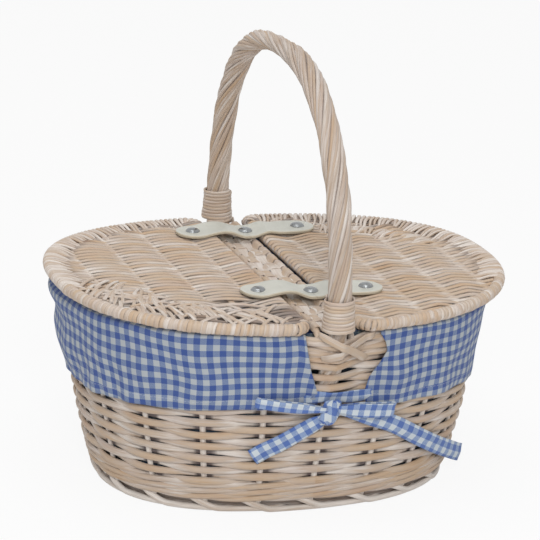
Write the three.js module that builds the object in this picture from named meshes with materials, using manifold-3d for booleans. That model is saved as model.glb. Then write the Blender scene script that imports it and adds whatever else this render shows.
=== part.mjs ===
// Oval willow picnic basket with two hinged lids, a twisted bow handle and a cotton liner.
// Millimetres, +Z up. The origin is the centre of the foot on the floor, +X runs along the basket
// towards the right lid and -Y is the side with the bow.
// Piece by piece: woven base, foot border, upsett, side weave, top wale and rim border make the
// basket; the handle stands in the weave, wound and lashed at both feet; a bridge of two rods and a
// woven strip joins the feet; each lid is a hoop, an edge rod and a woven panel, hung from the
// bridge by two riveted leather straps; a bag and two cuffs of gingham line it, tied at each foot.
import * as THREE from 'three';
import Module from 'manifold-3d';

// Driving dimensions of the woven body
const footLength = 296;
const footWidth = 232;
const rimHeight = 161;
const endFlare = 31;
const sideFlare = 34;
const flareEase = 1.36;
const bodySquareness = 2.3;
const stakeCount = 20;
const weaveThickness = 4;
const weaveWave = 1.5;
const rowPitch = 5.4;
const footBorderHeight = 9.5;
const footBorderDepth = 10;
const upsettRows = 3;
const topWaleRows = 2;
const rimBorderHeight = 9.5;
const rimBorderDepth = 8;
const borderStrands = 20;
const borderRelief = 0.9;
const baseThickness = 3;
const baseWave = 1;
const baseRise = 4.5;
const baseRings = 5;

// Driving dimensions of the handle and what holds its feet
const legOutsideRim = 9.5;
const shoulderAboveRim = 10;
const archRise = 188.6;
const handleRadius = 10;
const handleStrands = 7;
const strandRelief = 0.5;
const twistPitch = 180;
const handleSquareness = 2.4;
const stubRadius = 6;
const stubAboveRim = 2;
const stubBottom = 112;
const bulgeRim = 20;
const bulgeStart = 92;
const bulgeReach = 27;
const whippingTurns = 9;
const skeinWidth = 2.2;
const skeinThickness = 1.4;
const skeinGap = 0.5;
const lashingReach = 15;
const lashingDrop = 17;
const lashingWidth = 6;
const lashingThickness = 0.8;

// Driving dimensions of the bridge, lids and hinge straps
const lidLength = 380;
const lidWidth = 314;
const lidSquareness = 2.34;
const lidCurl = 5;
const hoopRadius = 4.7;
const lidCornerRadius = 10;
const ribCount = 3;
const outerBay = 1.32;
const lidWeavers = 76;
const lidWeaverInset = 3;
const lidPanelThickness = 4.4;
const lidWave = 1.3;
const bridgeWidth = 32;
const bridgeOverhang = 5;
const bridgeRodRadius = 3;
const bridgeRows = 18;
const bridgeWave = 0.8;
const bridgeStripThickness = 2.4;
const lidToBridgeGap = 2.2;
const strapWidth = 32;
const strapLength = 122;
const strapThickness = 2.6;
const strapFall = 7.5;
const strapEndRound = 13.4;
const strapShift = 6.5;
const strapFrontPlace = -66;
const strapBackPlace = 108;
const rivetSpacing = 46.4;
const rivetCapRadius = 5.8;
const rivetCapHeight = 3;
const rivetShankRadius = 2;

// Driving dimensions of the liner and its ties
const clothThickness = 1;
const cuffDrop = 60;
const cuffFlare = 2.2;
const cuffFolds = 10;
const cuffFoldDepth = 1.1;
const slitLeft = 21;
const slitRight = 40;
const tieWidth = 12.5;
const tieThickness = 1.6;
const loopThickness = 4;
const knotWidth = 15;
const knotHeight = 15;
const knotDepth = 7;
const knotShift = 3;
const knotDrop = 4;
const knotCrown = 0.8;
const loopReach = 60;
const loopSwing = 5;
const tailDrop = 14;
const leftTailReach = 61;
const leftTailFall = 41;
const rightTailReach = 116;
const rightTailFall = 54;
const rightTailStand = 9;

// Clearances
const seam = 0.3;
const clothSeam = 0.5;
const stubClearance = 2.2;
const whippingClearance = 0.8;

// Facet counts
const columnsPerStake = 2;
const borderSides = 6;
const rodSides = 8;

// Derived levels and sizes
const wallDepth = weaveThickness + 2 * weaveWave;
const upsettBottom = footBorderHeight + seam;
const upsettTop = upsettBottom + upsettRows * rowPitch;
const rimBorderBottom = rimHeight - rimBorderHeight;
const topWaleTop = rimBorderBottom - seam;
const topWaleBottom = topWaleTop - topWaleRows * rowPitch;
const sideBottom = upsettTop + seam;
const sideTop = topWaleBottom - seam;
const sideRows = Math.round((sideTop - sideBottom) / rowPitch);
const lidBottom = rimHeight + clothThickness + 2 * seam;
const lidLevel = lidBottom + hoopRadius;
const lidEdgeX = bridgeWidth / 2 + lidToBridgeGap + hoopRadius;
const hingeX = (bridgeWidth + lidToBridgeGap) / 2;
const bridgeBottom = rimHeight + seam;
const bridgeTop = bridgeBottom + 2 * bridgeRodRadius;
const handleShoulder = rimHeight + shoulderAboveRim;
const handleHalf = footWidth / 2 + sideFlare + legOutsideRim;
const lidPanelTop = lidLevel + lidPanelThickness / 2 + lidWave;
const hoopTop = lidLevel + hoopRadius;
const linerOffset = -(Math.max(wallDepth, rimBorderDepth) + clothSeam);
const whippingBottom = bridgeTop + seam;
const lidHalfLength = lidLength / 2 - hoopRadius;
const lidHalfWidth = lidWidth / 2 - hoopRadius;

// Finishes
const willow = new THREE.MeshStandardMaterial({ color: 0xd6bfa6, roughness: 0.62, metalness: 0 });
const willowRod = new THREE.MeshStandardMaterial({ color: 0xdcc3a0, roughness: 0.58, metalness: 0 });
const skein = new THREE.MeshStandardMaterial({ color: 0xd9c7b0, roughness: 0.55, metalness: 0 });
const leather = new THREE.MeshStandardMaterial({ color: 0xc9cec4, roughness: 0.45, metalness: 0 });
const nickel = new THREE.MeshStandardMaterial({ color: 0xb9bcbd, roughness: 0.25, metalness: 1 });
const gingham = new THREE.MeshStandardMaterial({ color: 0x7c90c8, roughness: 0.85, metalness: 0 });

// Small helpers
const wasm = await Module();
wasm.setup();

function lerp(start, end, share) {
  return start + (end - start) * share;
}

function smoothStep(share) {
  const held = Math.min(1, Math.max(0, share));
  return held * held * (3 - 2 * held);
}

function signedPower(value, power) {
  return Math.sign(value) * Math.abs(value) ** power;
}

function range(count, make) {
  return Array.from({ length: count }, (_, index) => make(index));
}

function point(x, y, z) {
  return new THREE.Vector3(x, y, z);
}

// A closed solid from points and faces; faces are turned over where they point inwards
function solidGeometry(points, faces) {
  const volume = faces.reduce((sum, [a, b, c]) => {
    const cross = new THREE.Vector3().crossVectors(points[b], points[c]);
    return sum + points[a].dot(cross);
  }, 0);
  const outward = volume > 0 ? faces : faces.map(([a, b, c]) => [a, c, b]);
  const geometry = new THREE.BufferGeometry();
  const numbers = points.flatMap((place) => place.toArray());
  geometry.setAttribute('position', new THREE.Float32BufferAttribute(numbers, 3));
  geometry.setIndex(outward.flat());
  geometry.computeVertexNormals();
  return geometry;
}

// Skin between closed rings of points; the last ring meets the first, or both ends get a cap
function ringSkin(rings, joined) {
  const sides = rings[0].length;
  const points = rings.flat();
  const faces = [];
  const spans = joined ? rings.length : rings.length - 1;
  for (let ring = 0; ring < spans; ring += 1) {
    const here = ring * sides;
    const next = ((ring + 1) % rings.length) * sides;
    for (let side = 0; side < sides; side += 1) {
      const after = (side + 1) % sides;
      faces.push([here + side, next + side, next + after]);
      faces.push([here + side, next + after, here + after]);
    }
  }
  if (!joined) {
    const last = (rings.length - 1) * sides;
    const firstCentre = points.push(centreOf(rings[0])) - 1;
    const lastCentre = points.push(centreOf(rings[rings.length - 1])) - 1;
    for (let side = 0; side < sides; side += 1) {
      const after = (side + 1) % sides;
      faces.push([firstCentre, side, after]);
      faces.push([lastCentre, last + after, last + side]);
    }
  }
  return solidGeometry(points, faces);
}

function centreOf(ring) {
  const sum = ring.reduce((total, place) => total.add(place), point(0, 0, 0));
  return sum.multiplyScalar(1 / ring.length);
}

// Closed sheet between two grids of points of the same size
function sheetGeometry(top, bottom) {
  const rings = top.map((line, index) => [...line, ...[...bottom[index]].reverse()]);
  const across = top[0].length;
  const sides = 2 * across;
  const points = rings.flat();
  const faces = [];
  for (let row = 0; row < rings.length - 1; row += 1) {
    const here = row * sides;
    const next = here + sides;
    for (let side = 0; side < sides; side += 1) {
      const after = (side + 1) % sides;
      faces.push([here + side, next + side, next + after]);
      faces.push([here + side, next + after, here + after]);
    }
  }
  [0, rings.length - 1].forEach((row, end) => {
    const here = row * sides;
    for (let step = 0; step < across - 1; step += 1) {
      const upper = here + step;
      const lower = here + sides - 1 - step;
      const quad = [[upper, upper + 1, lower - 1], [upper, lower - 1, lower]];
      faces.push(...(end === 0 ? quad : quad.map(([a, b, c]) => [a, c, b])));
    }
  });
  return solidGeometry(points, faces);
}

// Rod of round section along points, with its own side direction at every point
function rodGeometry(path, radius, sides = rodSides) {
  const rings = path.map((place, index) => {
    const before = path[Math.max(0, index - 1)];
    const after = path[Math.min(path.length - 1, index + 1)];
    const along = after.clone().sub(before).normalize();
    const reference = Math.abs(along.z) > 0.9 ? point(1, 0, 0) : point(0, 0, 1);
    const side = new THREE.Vector3().crossVectors(along, reference).normalize();
    const up = new THREE.Vector3().crossVectors(side, along);
    return range(sides, (turn) => {
      const angle = (2 * Math.PI * (turn + 0.5)) / sides;
      const offset = side.clone().multiplyScalar(radius * Math.cos(angle));
      offset.addScaledVector(up, radius * Math.sin(angle));
      return place.clone().add(offset);
    });
  });
  return ringSkin(rings, false);
}

function piece(parent, name, geometry, finish) {
  const mesh = new THREE.Mesh(geometry, finish);
  mesh.name = name;
  parent.add(mesh);
  return mesh;
}

// Oval outlines
function ovalPoint(halfLength, halfWidth, angle, squareness) {
  const power = 2 / squareness;
  const x = halfLength * signedPower(Math.cos(angle), power);
  const y = halfWidth * signedPower(Math.sin(angle), power);
  return [x, y];
}

function ovalHalfWidthAt(x, halfLength, halfWidth, squareness) {
  const share = Math.min(1, Math.abs(x) / halfLength);
  return halfWidth * (1 - share ** squareness) ** (1 / squareness);
}

// Angles that divide the rim outline into even lengths, from the front centre round
function evenAngles(count) {
  const samples = 4000;
  const turnOf = (index) => -Math.PI / 2 + (2 * Math.PI * index) / samples;
  const lengths = [0];
  for (let index = 1; index <= samples; index += 1) {
    const halfLength = footLength / 2 + endFlare;
    const halfWidth = footWidth / 2 + sideFlare;
    const here = ovalPoint(halfLength, halfWidth, turnOf(index), bodySquareness);
    const before = ovalPoint(halfLength, halfWidth, turnOf(index - 1), bodySquareness);
    lengths.push(lengths[index - 1] + Math.hypot(here[0] - before[0], here[1] - before[1]));
  }
  const total = lengths[samples];
  return range(count, (step) => {
    const wanted = (total * step) / count;
    let index = lengths.findIndex((length) => length >= wanted);
    index = Math.max(1, index);
    const span = lengths[index] - lengths[index - 1];
    const share = (wanted - lengths[index - 1]) / span;
    return turnOf(index - 1 + share);
  });
}

// Two columns for every stake; the ones beside a handle foot stand where its bulge ends
const wallColumns = stakeCount * columnsPerStake;
const wallAngles = evenAngles(wallColumns).map((angle, column) => {
  const half = wallColumns / 2;
  const fromFoot = ((column + half / 2) % half) - half / 2;
  if (Math.abs(fromFoot) !== 1) return angle;
  const share = bulgeReach / (footLength / 2 + endFlare);
  const lean = Math.PI / 2 - Math.acos(share ** (bodySquareness / 2));
  const foot = column < half / 2 || column > wallColumns - half / 2 ? -Math.PI / 2 : Math.PI / 2;
  return foot + fromFoot * lean;
});
const borderAngles = wallAngles.flatMap((angle, column) => {
  const next = wallAngles[(column + 1) % wallColumns];
  const turn = Math.atan2(Math.sin(next - angle), Math.cos(next - angle));
  return [angle, angle + turn / 2];
});

// The outer face of the wall: a foot oval that flares to the rim and bulges over each handle foot
function flareShare(z) {
  const share = z / rimHeight;
  return flareEase * share - (flareEase - 1) * share * share;
}

function halfLengthAt(z) {
  return footLength / 2 + endFlare * flareShare(z);
}

function halfWidthAt(z) {
  return footWidth / 2 + sideFlare * flareShare(z);
}

function bulgeAt(x, z) {
  const rise = smoothStep((z - bulgeStart) / (rimHeight - bulgeStart));
  return bulgeRim * rise * Math.max(0, 1 - Math.abs(x) / bulgeReach);
}

function wallPoint(angle, z, offset, bulged = true) {
  const [x, y] = ovalPoint(halfLengthAt(z) + offset, halfWidthAt(z) + offset, angle, bodySquareness);
  const bulge = bulged ? bulgeAt(x, z) * Math.sign(y) : 0;
  return point(x, y + bulge, z);
}

function frontWallPoint(x, z, offset) {
  const halfLength = halfLengthAt(z) + offset;
  const halfWidth = halfWidthAt(z) + offset;
  const y = ovalHalfWidthAt(x, halfLength, halfWidth, bodySquareness) + bulgeAt(x, z);
  return point(x, -y, z);
}

// Woven ring: every row of rods passes before some stakes and behind the others
function wovenRing(bottom, rows, top, isBefore) {
  const rings = wallAngles.map((angle, column) => {
    const stake = column / columnsPerStake;
    const wave = (row) => {
      if (column % columnsPerStake !== 0) return 0;
      return isBefore(stake, row) ? weaveWave : -weaveWave;
    };
    const levels = range(rows, (row) => lerp(bottom, top, (row + 0.5) / rows));
    const middle = -wallDepth / 2;
    const outer = levels.map((z, row) => wallPoint(angle, z, middle + weaveThickness / 2 + wave(row)));
    const inner = levels.map((z, row) => wallPoint(angle, z, middle - weaveThickness / 2 + wave(row)));
    const outerEnds = [bottom, top].map((z) => wallPoint(angle, z, middle + weaveThickness / 2));
    const innerEnds = [bottom, top].map((z) => wallPoint(angle, z, middle - weaveThickness / 2));
    return [outerEnds[0], ...outer, outerEnds[1], innerEnds[1], ...inner.reverse(), innerEnds[0]];
  });
  return ringSkin(rings, true);
}

// Border of rods laid round like a rope
function borderRing(bottom, height, depth) {
  const rings = borderAngles.map((angle, column) => {
    const lay = (2 * Math.PI * borderStrands * column) / borderAngles.length;
    return range(borderSides, (side) => {
      const turn = (2 * Math.PI * side) / borderSides;
      const relief = borderRelief * (0.5 + 0.5 * Math.cos(lay + turn));
      const offset = -depth / 2 + (depth / 2 - relief) * Math.cos(turn);
      const z = bottom + height / 2 + (height / 2) * borderFlat(turn);
      return wallPoint(angle, z, offset);
    });
  });
  return ringSkin(rings, true);
}

// Height of a border's section point, flat on the top and bottom where it meets its neighbours
function borderFlat(turn) {
  return Math.max(-1, Math.min(1, Math.sin(turn) / Math.sin(Math.PI / 3)));
}

// Woven base: the rows run round and the sticks fan out from the middle
function baseGeometry() {
  const edge = -(footBorderDepth + seam);
  const underside = baseRise + baseWave;
  const layer = (level) => range(baseRings, (ring) => {
    const share = (ring + 1) / baseRings;
    return wallAngles.map((angle, column) => {
      const over = (column / columnsPerStake + ring) % 2 === 0 ? baseWave : -baseWave;
      const wave = column % columnsPerStake === 0 && ring < baseRings - 1 ? over : 0;
      const length = (footLength / 2 + edge) * share;
      const width = (footWidth / 2 + edge) * share;
      const [x, y] = ovalPoint(length, width, angle, bodySquareness);
      return point(x, y, level + wave);
    });
  });
  const lower = layer(underside);
  const upper = layer(underside + baseThickness);
  const rings = [...lower, ...upper.reverse()];
  return ringSkin(rings, false);
}

const basket = new THREE.Group();

piece(basket, 'base_weave', baseGeometry(), willow);
piece(basket, 'foot_border', borderRing(0, footBorderHeight, footBorderDepth), willow);
const walesBefore = (stake, row) => (stake + row) % 3 !== 0;
const randBefore = (stake, row) => (stake + row) % 2 === 0;
piece(basket, 'upsett_wale', wovenRing(upsettBottom, upsettRows, upsettTop, walesBefore), willow);
piece(basket, 'side_weave', wovenRing(sideBottom, sideRows, sideTop, randBefore), willow);
piece(basket, 'top_wale', wovenRing(topWaleBottom, topWaleRows, topWaleTop, walesBefore), willow);
piece(basket, 'rim_border', borderRing(rimBorderBottom, rimBorderHeight, rimBorderDepth), willowRod);

// Handle: an arch between two stubs that run down inside the weave
function stubCentre(z) {
  const inside = Math.max(wallDepth, rimBorderDepth) + stubClearance + stubRadius;
  return halfWidthAt(z) + bulgeAt(0, z) - inside;
}

function handlePath() {
  const stubSteps = 5;
  const footSteps = 3;
  const archSteps = 28;
  const stubTop = rimHeight + stubAboveRim;
  const stub = range(stubSteps, (step) => {
    const z = lerp(stubBottom, stubTop, step / (stubSteps - 1));
    return { y: stubCentre(z), z, radius: stubRadius };
  });
  const foot = range(footSteps, (step) => {
    const share = (step + 1) / (footSteps + 1);
    const y = lerp(stubCentre(stubTop), handleHalf, smoothStep(share));
    return { y, z: lerp(stubTop, handleShoulder, share), radius: lerp(stubRadius, handleRadius, share) };
  });
  const arch = range(archSteps + 1, (step) => {
    const angle = (Math.PI * step) / archSteps;
    const power = 2 / handleSquareness;
    const y = handleHalf * signedPower(Math.cos(angle), power);
    const z = handleShoulder + archRise * Math.abs(Math.sin(angle)) ** power;
    return { y, z, radius: handleRadius };
  });
  const rising = [...stub, ...foot];
  const falling = rising.map((place) => ({ ...place, y: -place.y })).reverse();
  return [...rising, ...arch, ...falling].map((place) => ({ ...place, y: -place.y }));
}

function handleGeometry() {
  const path = handlePath();
  let travelled = 0;
  const rings = path.map((place, index) => {
    const before = path[Math.max(0, index - 1)];
    const after = path[Math.min(path.length - 1, index + 1)];
    if (index > 0) travelled += Math.hypot(place.y - before.y, place.z - before.z);
    const length = Math.hypot(after.y - before.y, after.z - before.z);
    const normalY = (after.z - before.z) / length;
    const normalZ = -(after.y - before.y) / length;
    const twist = (2 * Math.PI * travelled) / twistPitch;
    return range(2 * handleStrands, (side) => {
      const angle = (Math.PI * side) / handleStrands + twist;
      const radius = place.radius + (side % 2 === 0 ? strandRelief : -strandRelief);
      const x = radius * Math.cos(angle);
      const across = radius * Math.sin(angle);
      return point(x, place.y + across * normalY, place.z + across * normalZ);
    });
  });
  return ringSkin(rings, false);
}

piece(basket, 'handle_bow', handleGeometry(), willowRod);

// Whipping: one flat skein wound round each foot of the handle
function windingGeometry(side) {
  const stepsPerTurn = 10;
  const steps = whippingTurns * stepsPerTurn;
  const pitch = skeinWidth + skeinGap;
  const inside = (handleRadius + strandRelief + whippingClearance) / Math.cos(Math.PI / stepsPerTurn);
  const rings = range(steps + 1, (step) => {
    const angle = (2 * Math.PI * step) / stepsPerTurn;
    const z = whippingBottom + (pitch * step) / stepsPerTurn;
    const corner = (radius, rise) => point(
      side * radius * Math.cos(angle),
      side * (radius * Math.sin(angle) - handleHalf),
      z + rise,
    );
    const outside = inside + skeinThickness;
    return [corner(inside, 0), corner(outside, 0), corner(outside, skeinWidth), corner(inside, skeinWidth)];
  });
  console.log(`least gap between whipping turns ${(pitch - skeinWidth).toFixed(2)} mm`);
  return ringSkin(rings, false);
}

// Lashing: two flat skeins crossed over the border at each handle foot
function lashingGeometry(slope, layer, side) {
  const steps = 6;
  const top = rimHeight - seam;
  const offset = seam + layer * (lashingThickness + seam);
  const line = (shift, depth) => range(steps + 1, (step) => {
    const share = step / steps;
    const x = slope * lerp(-lashingReach, lashingReach, share);
    const z = lerp(top - lashingWidth, top - lashingDrop, share);
    const place = frontWallPoint(x, z + shift, offset + depth);
    return point(place.x * side, place.y * side, place.z);
  });
  const upper = [line(0, lashingThickness), line(lashingWidth, lashingThickness)];
  const lower = [line(0, 0), line(lashingWidth, 0)];
  return sheetGeometry(upper, lower);
}

['front', 'back'].forEach((end, index) => {
  const side = index === 0 ? 1 : -1;
  piece(basket, `whipping_${end}`, windingGeometry(side), skein);
  piece(basket, `lashing_${end}_under`, lashingGeometry(1, 0, side), skein);
  piece(basket, `lashing_${end}_over`, lashingGeometry(-1, 1, side), skein);
});

// Bridge between the handle feet: two rods with a woven strip between them
const bridgeHalf = halfWidthAt(rimHeight) + bridgeOverhang;
const legInside = Math.min(stubCentre(rimHeight), handleHalf) - handleRadius - strandRelief;
const stripHalf = legInside - seam;
const bridgeRodX = bridgeWidth / 2 - bridgeRodRadius;
const bridgeLevel = bridgeBottom + bridgeRodRadius;
[['left', -1], ['right', 1]].forEach(([name, side]) => {
  const path = [-bridgeHalf, bridgeHalf].map((y) => point(side * bridgeRodX, y, bridgeLevel));
  piece(basket, `bridge_rod_${name}`, rodGeometry(path, bridgeRodRadius), willowRod);
});

function bridgeStripGeometry() {
  const columns = 4;
  const half = bridgeRodX - bridgeRodRadius - seam;
  const layer = (height) => range(bridgeRows + 1, (row) => range(columns + 1, (column) => {
    const x = lerp(-half, half, column / columns);
    const y = lerp(-stripHalf, stripHalf, row / bridgeRows);
    const inner = column > 0 && column < columns;
    const wave = inner ? bridgeWave * ((row + column) % 2 === 0 ? 1 : -1) : 0;
    return point(x, y, bridgeLevel + height + wave);
  }));
  return sheetGeometry(layer(bridgeStripThickness / 2), layer(-bridgeStripThickness / 2));
}
piece(basket, 'bridge_weave', bridgeStripGeometry(), skein);

// Lids: every height rises a little towards the outer end
function lidLift(x) {
  const share = Math.max(0, Math.abs(x) - hingeX) / (lidLength / 2 - hingeX);
  return lidCurl * share * share;
}

// The hoop turns both inner corners and meets the ends of the straight edge rod
const cornerX = lidEdgeX + lidCornerRadius;
const cornerY = ovalHalfWidthAt(cornerX, lidHalfLength, lidHalfWidth, lidSquareness) - lidCornerRadius;
const edgeRodHalf = cornerY - hoopRadius;

function hoopPath(side) {
  const steps = 30;
  const cornerSteps = 4;
  const startAngle = Math.acos((cornerX / lidHalfLength) ** (lidSquareness / 2));
  const turns = range(cornerSteps, (step) => {
    const angle = (Math.PI / 2) * (step / cornerSteps);
    return [cornerX - lidCornerRadius * Math.cos(angle), cornerY + lidCornerRadius * Math.sin(angle)];
  });
  const corner = [[lidEdgeX, edgeRodHalf + seam], ...turns];
  const outline = range(steps + 1, (step) => {
    const angle = lerp(-startAngle, startAngle, step / steps);
    return ovalPoint(lidHalfLength, lidHalfWidth, angle, lidSquareness);
  });
  const front = corner.map(([x, y]) => [x, -y]);
  const path = [...front, ...outline, ...corner.reverse()];
  return path.map(([x, y]) => point(side * x, y, lidLevel + lidLift(x)));
}

// Panel: every weaver runs from the edge rod to the hoop, over one rib and under the next
function lidPanelGeometry(side) {
  const inset = hoopRadius + seam;
  const halfLength = lidHalfLength - inset;
  const halfWidth = lidHalfWidth - inset;
  const reach = halfWidth - lidWeaverInset;
  const ribPitch = (lidHalfLength - lidEdgeX) / (ribCount + outerBay);
  const layer = (height) => range(lidWeavers, (row) => {
    const y = lerp(-reach, reach, row / (lidWeavers - 1));
    const pastCorner = Math.max(0, Math.abs(y) - cornerY);
    const startX = cornerX - Math.sqrt(Math.max(0, (lidCornerRadius - inset) ** 2 - pastCorner ** 2));
    const endX = ovalHalfWidthAt(y, halfWidth, halfLength, lidSquareness);
    return range(ribCount + 2, (column) => {
      const ribX = lidEdgeX + column * ribPitch;
      const lastX = endX - (ribCount + 1 - column);
      const isRib = column > 0 && column <= ribCount && ribX < lastX;
      const insideX = isRib ? ribX : lastX;
      const x = column === 0 ? startX : insideX;
      const over = (row + column) % 2 === 0 ? 1 : -1;
      const wave = isRib ? lidWave * over : 0;
      return point(side * x, y, lidLevel + lidLift(x) + height + wave);
    });
  });
  return sheetGeometry(layer(lidPanelThickness / 2), layer(-lidPanelThickness / 2));
}

// Straps: a bent strip of leather cut at the two lines where it flexes
function climbStartBeside(side) {
  return strapShift + side * rivetCapRadius;
}

function strapProfile(x) {
  const fromCentre = Math.abs(x);
  const side = x > strapShift ? 1 : -1;
  const onBridge = bridgeTop + seam;
  const overEdge = hoopTop + seam;
  const onLid = lidPanelTop + seam;
  const climbStart = climbStartBeside(side);
  const climb = smoothStep((x - climbStart) / (side * hingeX - climbStart));
  const edgeEnd = lidEdgeX + hoopRadius;
  const fall = smoothStep((fromCentre - edgeEnd) / strapFall);
  const lift = lidLift(x);
  return lerp(lerp(onBridge, overEdge, climb), onLid + lift, fall);
}

function strapGeometry(fromX, toX, place, rivetXs) {
  const steps = 10;
  const bends = [-1, 1].map(climbStartBeside).filter((x) => x > fromX && x < toX);
  const even = range(steps + 1, (step) => lerp(fromX, toX, step / steps));
  const samples = [...even, ...bends].sort((a, b) => a - b);
  const outline = new THREE.Shape();
  samples.forEach((x, index) => {
    const z = strapProfile(x);
    if (index === 0) outline.moveTo(x, z);
    else outline.lineTo(x, z);
  });
  [...samples].reverse().forEach((x) => outline.lineTo(x, strapProfile(x) + strapThickness));
  const bar = new THREE.ExtrudeGeometry(outline, { depth: strapWidth, bevelEnabled: false });
  bar.rotateX(Math.PI / 2);
  bar.translate(0, place + strapWidth / 2, 0);
  const cutter = new THREE.ExtrudeGeometry(strapOutline(rivetXs), {
    depth: strapLength,
    bevelEnabled: false,
    curveSegments: 4,
  });
  cutter.translate(strapShift, place, bridgeBottom);
  return cutGeometry(bar, cutter);
}

function strapOutline(rivetXs) {
  const half = strapLength / 2;
  const side = strapWidth / 2;
  const centre = half - strapEndRound;
  const quarter = Math.PI / 2;
  const shape = new THREE.Shape();
  shape.moveTo(-centre, -side);
  shape.lineTo(centre, -side);
  shape.absellipse(centre, 0, strapEndRound, side, -quarter, quarter, false, 0);
  shape.lineTo(-centre, side);
  shape.absellipse(-centre, 0, strapEndRound, side, quarter, 3 * quarter, false, 0);
  rivetXs.forEach((x) => {
    const hole = new THREE.Path();
    hole.absarc(x, 0, rivetShankRadius + seam, 0, 2 * Math.PI, true);
    shape.holes.push(hole);
  });
  return shape;
}

function toManifold(geometry) {
  const keys = new Map();
  const corners = [];
  const positions = geometry.getAttribute('position');
  const indexOf = (vertex) => {
    const place = [positions.getX(vertex), positions.getY(vertex), positions.getZ(vertex)];
    const key = place.map((value) => Math.round(value * 1000)).join(',');
    if (!keys.has(key)) {
      keys.set(key, corners.length / 3);
      corners.push(...place);
    }
    return keys.get(key);
  };
  const indices = geometry.index?.array ?? range(positions.count, (index) => index);
  const triVerts = new Uint32Array(Array.from(indices, indexOf));
  const vertProperties = new Float32Array(corners);
  return new wasm.Manifold(new wasm.Mesh({ numProp: 3, vertProperties, triVerts }));
}

function cutGeometry(bar, cutter) {
  const shared = toManifold(bar).intersect(toManifold(cutter)).getMesh();
  const geometry = new THREE.BufferGeometry();
  geometry.setAttribute('position', new THREE.BufferAttribute(shared.vertProperties, 3));
  geometry.setIndex(new THREE.BufferAttribute(shared.triVerts, 1));
  geometry.computeVertexNormals();
  return geometry;
}

// Rivet: a domed cap on the leather and a shank through it
function rivetGeometry() {
  const domeSteps = 3;
  const grip = strapThickness;
  const dome = range(domeSteps + 1, (step) => {
    const angle = (Math.PI / 2) * (step / domeSteps);
    return new THREE.Vector2(rivetCapRadius * Math.cos(angle), seam + rivetCapHeight * Math.sin(angle));
  });
  dome[dome.length - 1].x = 0;
  const profile = [
    new THREE.Vector2(0, -grip),
    new THREE.Vector2(rivetShankRadius, -grip),
    new THREE.Vector2(rivetShankRadius, seam),
    ...dome,
  ];
  const geometry = new THREE.LatheGeometry(profile, rodSides);
  geometry.rotateX(Math.PI / 2);
  return geometry;
}

function rivetAt(parent, name, x, y) {
  const rise = strapProfile(x + rivetShankRadius) - strapProfile(x - rivetShankRadius);
  const tilt = rise / (2 * rivetShankRadius);
  const rivet = piece(parent, name, rivetGeometry(), nickel);
  const low = Math.abs(tilt) * rivetCapRadius;
  rivet.position.set(x, y, strapProfile(x) + strapThickness + low);
}

// Each body is a group whose pieces move together
const lids = { left: new THREE.Group(), right: new THREE.Group() };
Object.entries(lids).forEach(([name, lid]) => {
  const side = name === 'left' ? -1 : 1;
  piece(lid, `lid_${name}_hoop`, rodGeometry(hoopPath(side), hoopRadius), skein);
  const edge = [-edgeRodHalf, edgeRodHalf].map((y) => point(side * lidEdgeX, y, lidLevel));
  piece(lid, `lid_${name}_edge_rod`, rodGeometry(edge, hoopRadius), skein);
  piece(lid, `lid_${name}_weave`, lidPanelGeometry(side), willow);
});

[['front', strapFrontPlace], ['back', strapBackPlace]].forEach(([row, place]) => {
  const leftEnd = strapShift - strapLength / 2 - seam;
  const rightEnd = strapShift + strapLength / 2 + seam;
  const half = seam / 2;
  const middle = strapGeometry(-hingeX + half, hingeX - half, place, [0]);
  const left = strapGeometry(leftEnd, -hingeX - half, place, [-rivetSpacing]);
  const right = strapGeometry(hingeX + half, rightEnd, place, [rivetSpacing]);
  piece(basket, `strap_${row}_middle`, middle, leather);
  piece(lids.left, `strap_${row}_left_flap`, left, leather);
  piece(lids.right, `strap_${row}_right_flap`, right, leather);
  rivetAt(basket, `rivet_${row}_middle`, strapShift, place);
  rivetAt(lids.left, `rivet_${row}_left`, strapShift - rivetSpacing, place);
  rivetAt(lids.right, `rivet_${row}_right`, strapShift + rivetSpacing, place);
});

// Liner: a bag that stands inside the wall, and a cuff over the rim on each side of the handle
function bagGeometry() {
  const bagLevels = 3;
  const floorZ = baseRise + 2 * baseWave + baseThickness + clothSeam;
  const top = rimHeight - seam;
  const levels = range(bagLevels + 1, (level) => lerp(floorZ, top, level / bagLevels));
  const shell = (depth) => levels.map((z, level) => wallAngles.map((angle) => {
    const height = level === 0 ? z + depth : z;
    const place = wallPoint(angle, z, linerOffset - depth, false);
    const beside = Math.max(0, 1 - Math.abs(place.x) / bulgeReach);
    const rise = smoothStep((z - stubBottom + 3 * rowPitch) / (2 * rowPitch));
    const roundStub = (2 * stubRadius + 2 * stubClearance) * beside * rise - bulgeAt(place.x, z);
    return point(place.x, place.y - Math.sign(place.y) * Math.max(0, roundStub), height);
  }));
  const outer = shell(0);
  const inner = shell(clothThickness).reverse();
  return ringSkin([...outer, ...inner], false);
}

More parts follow.
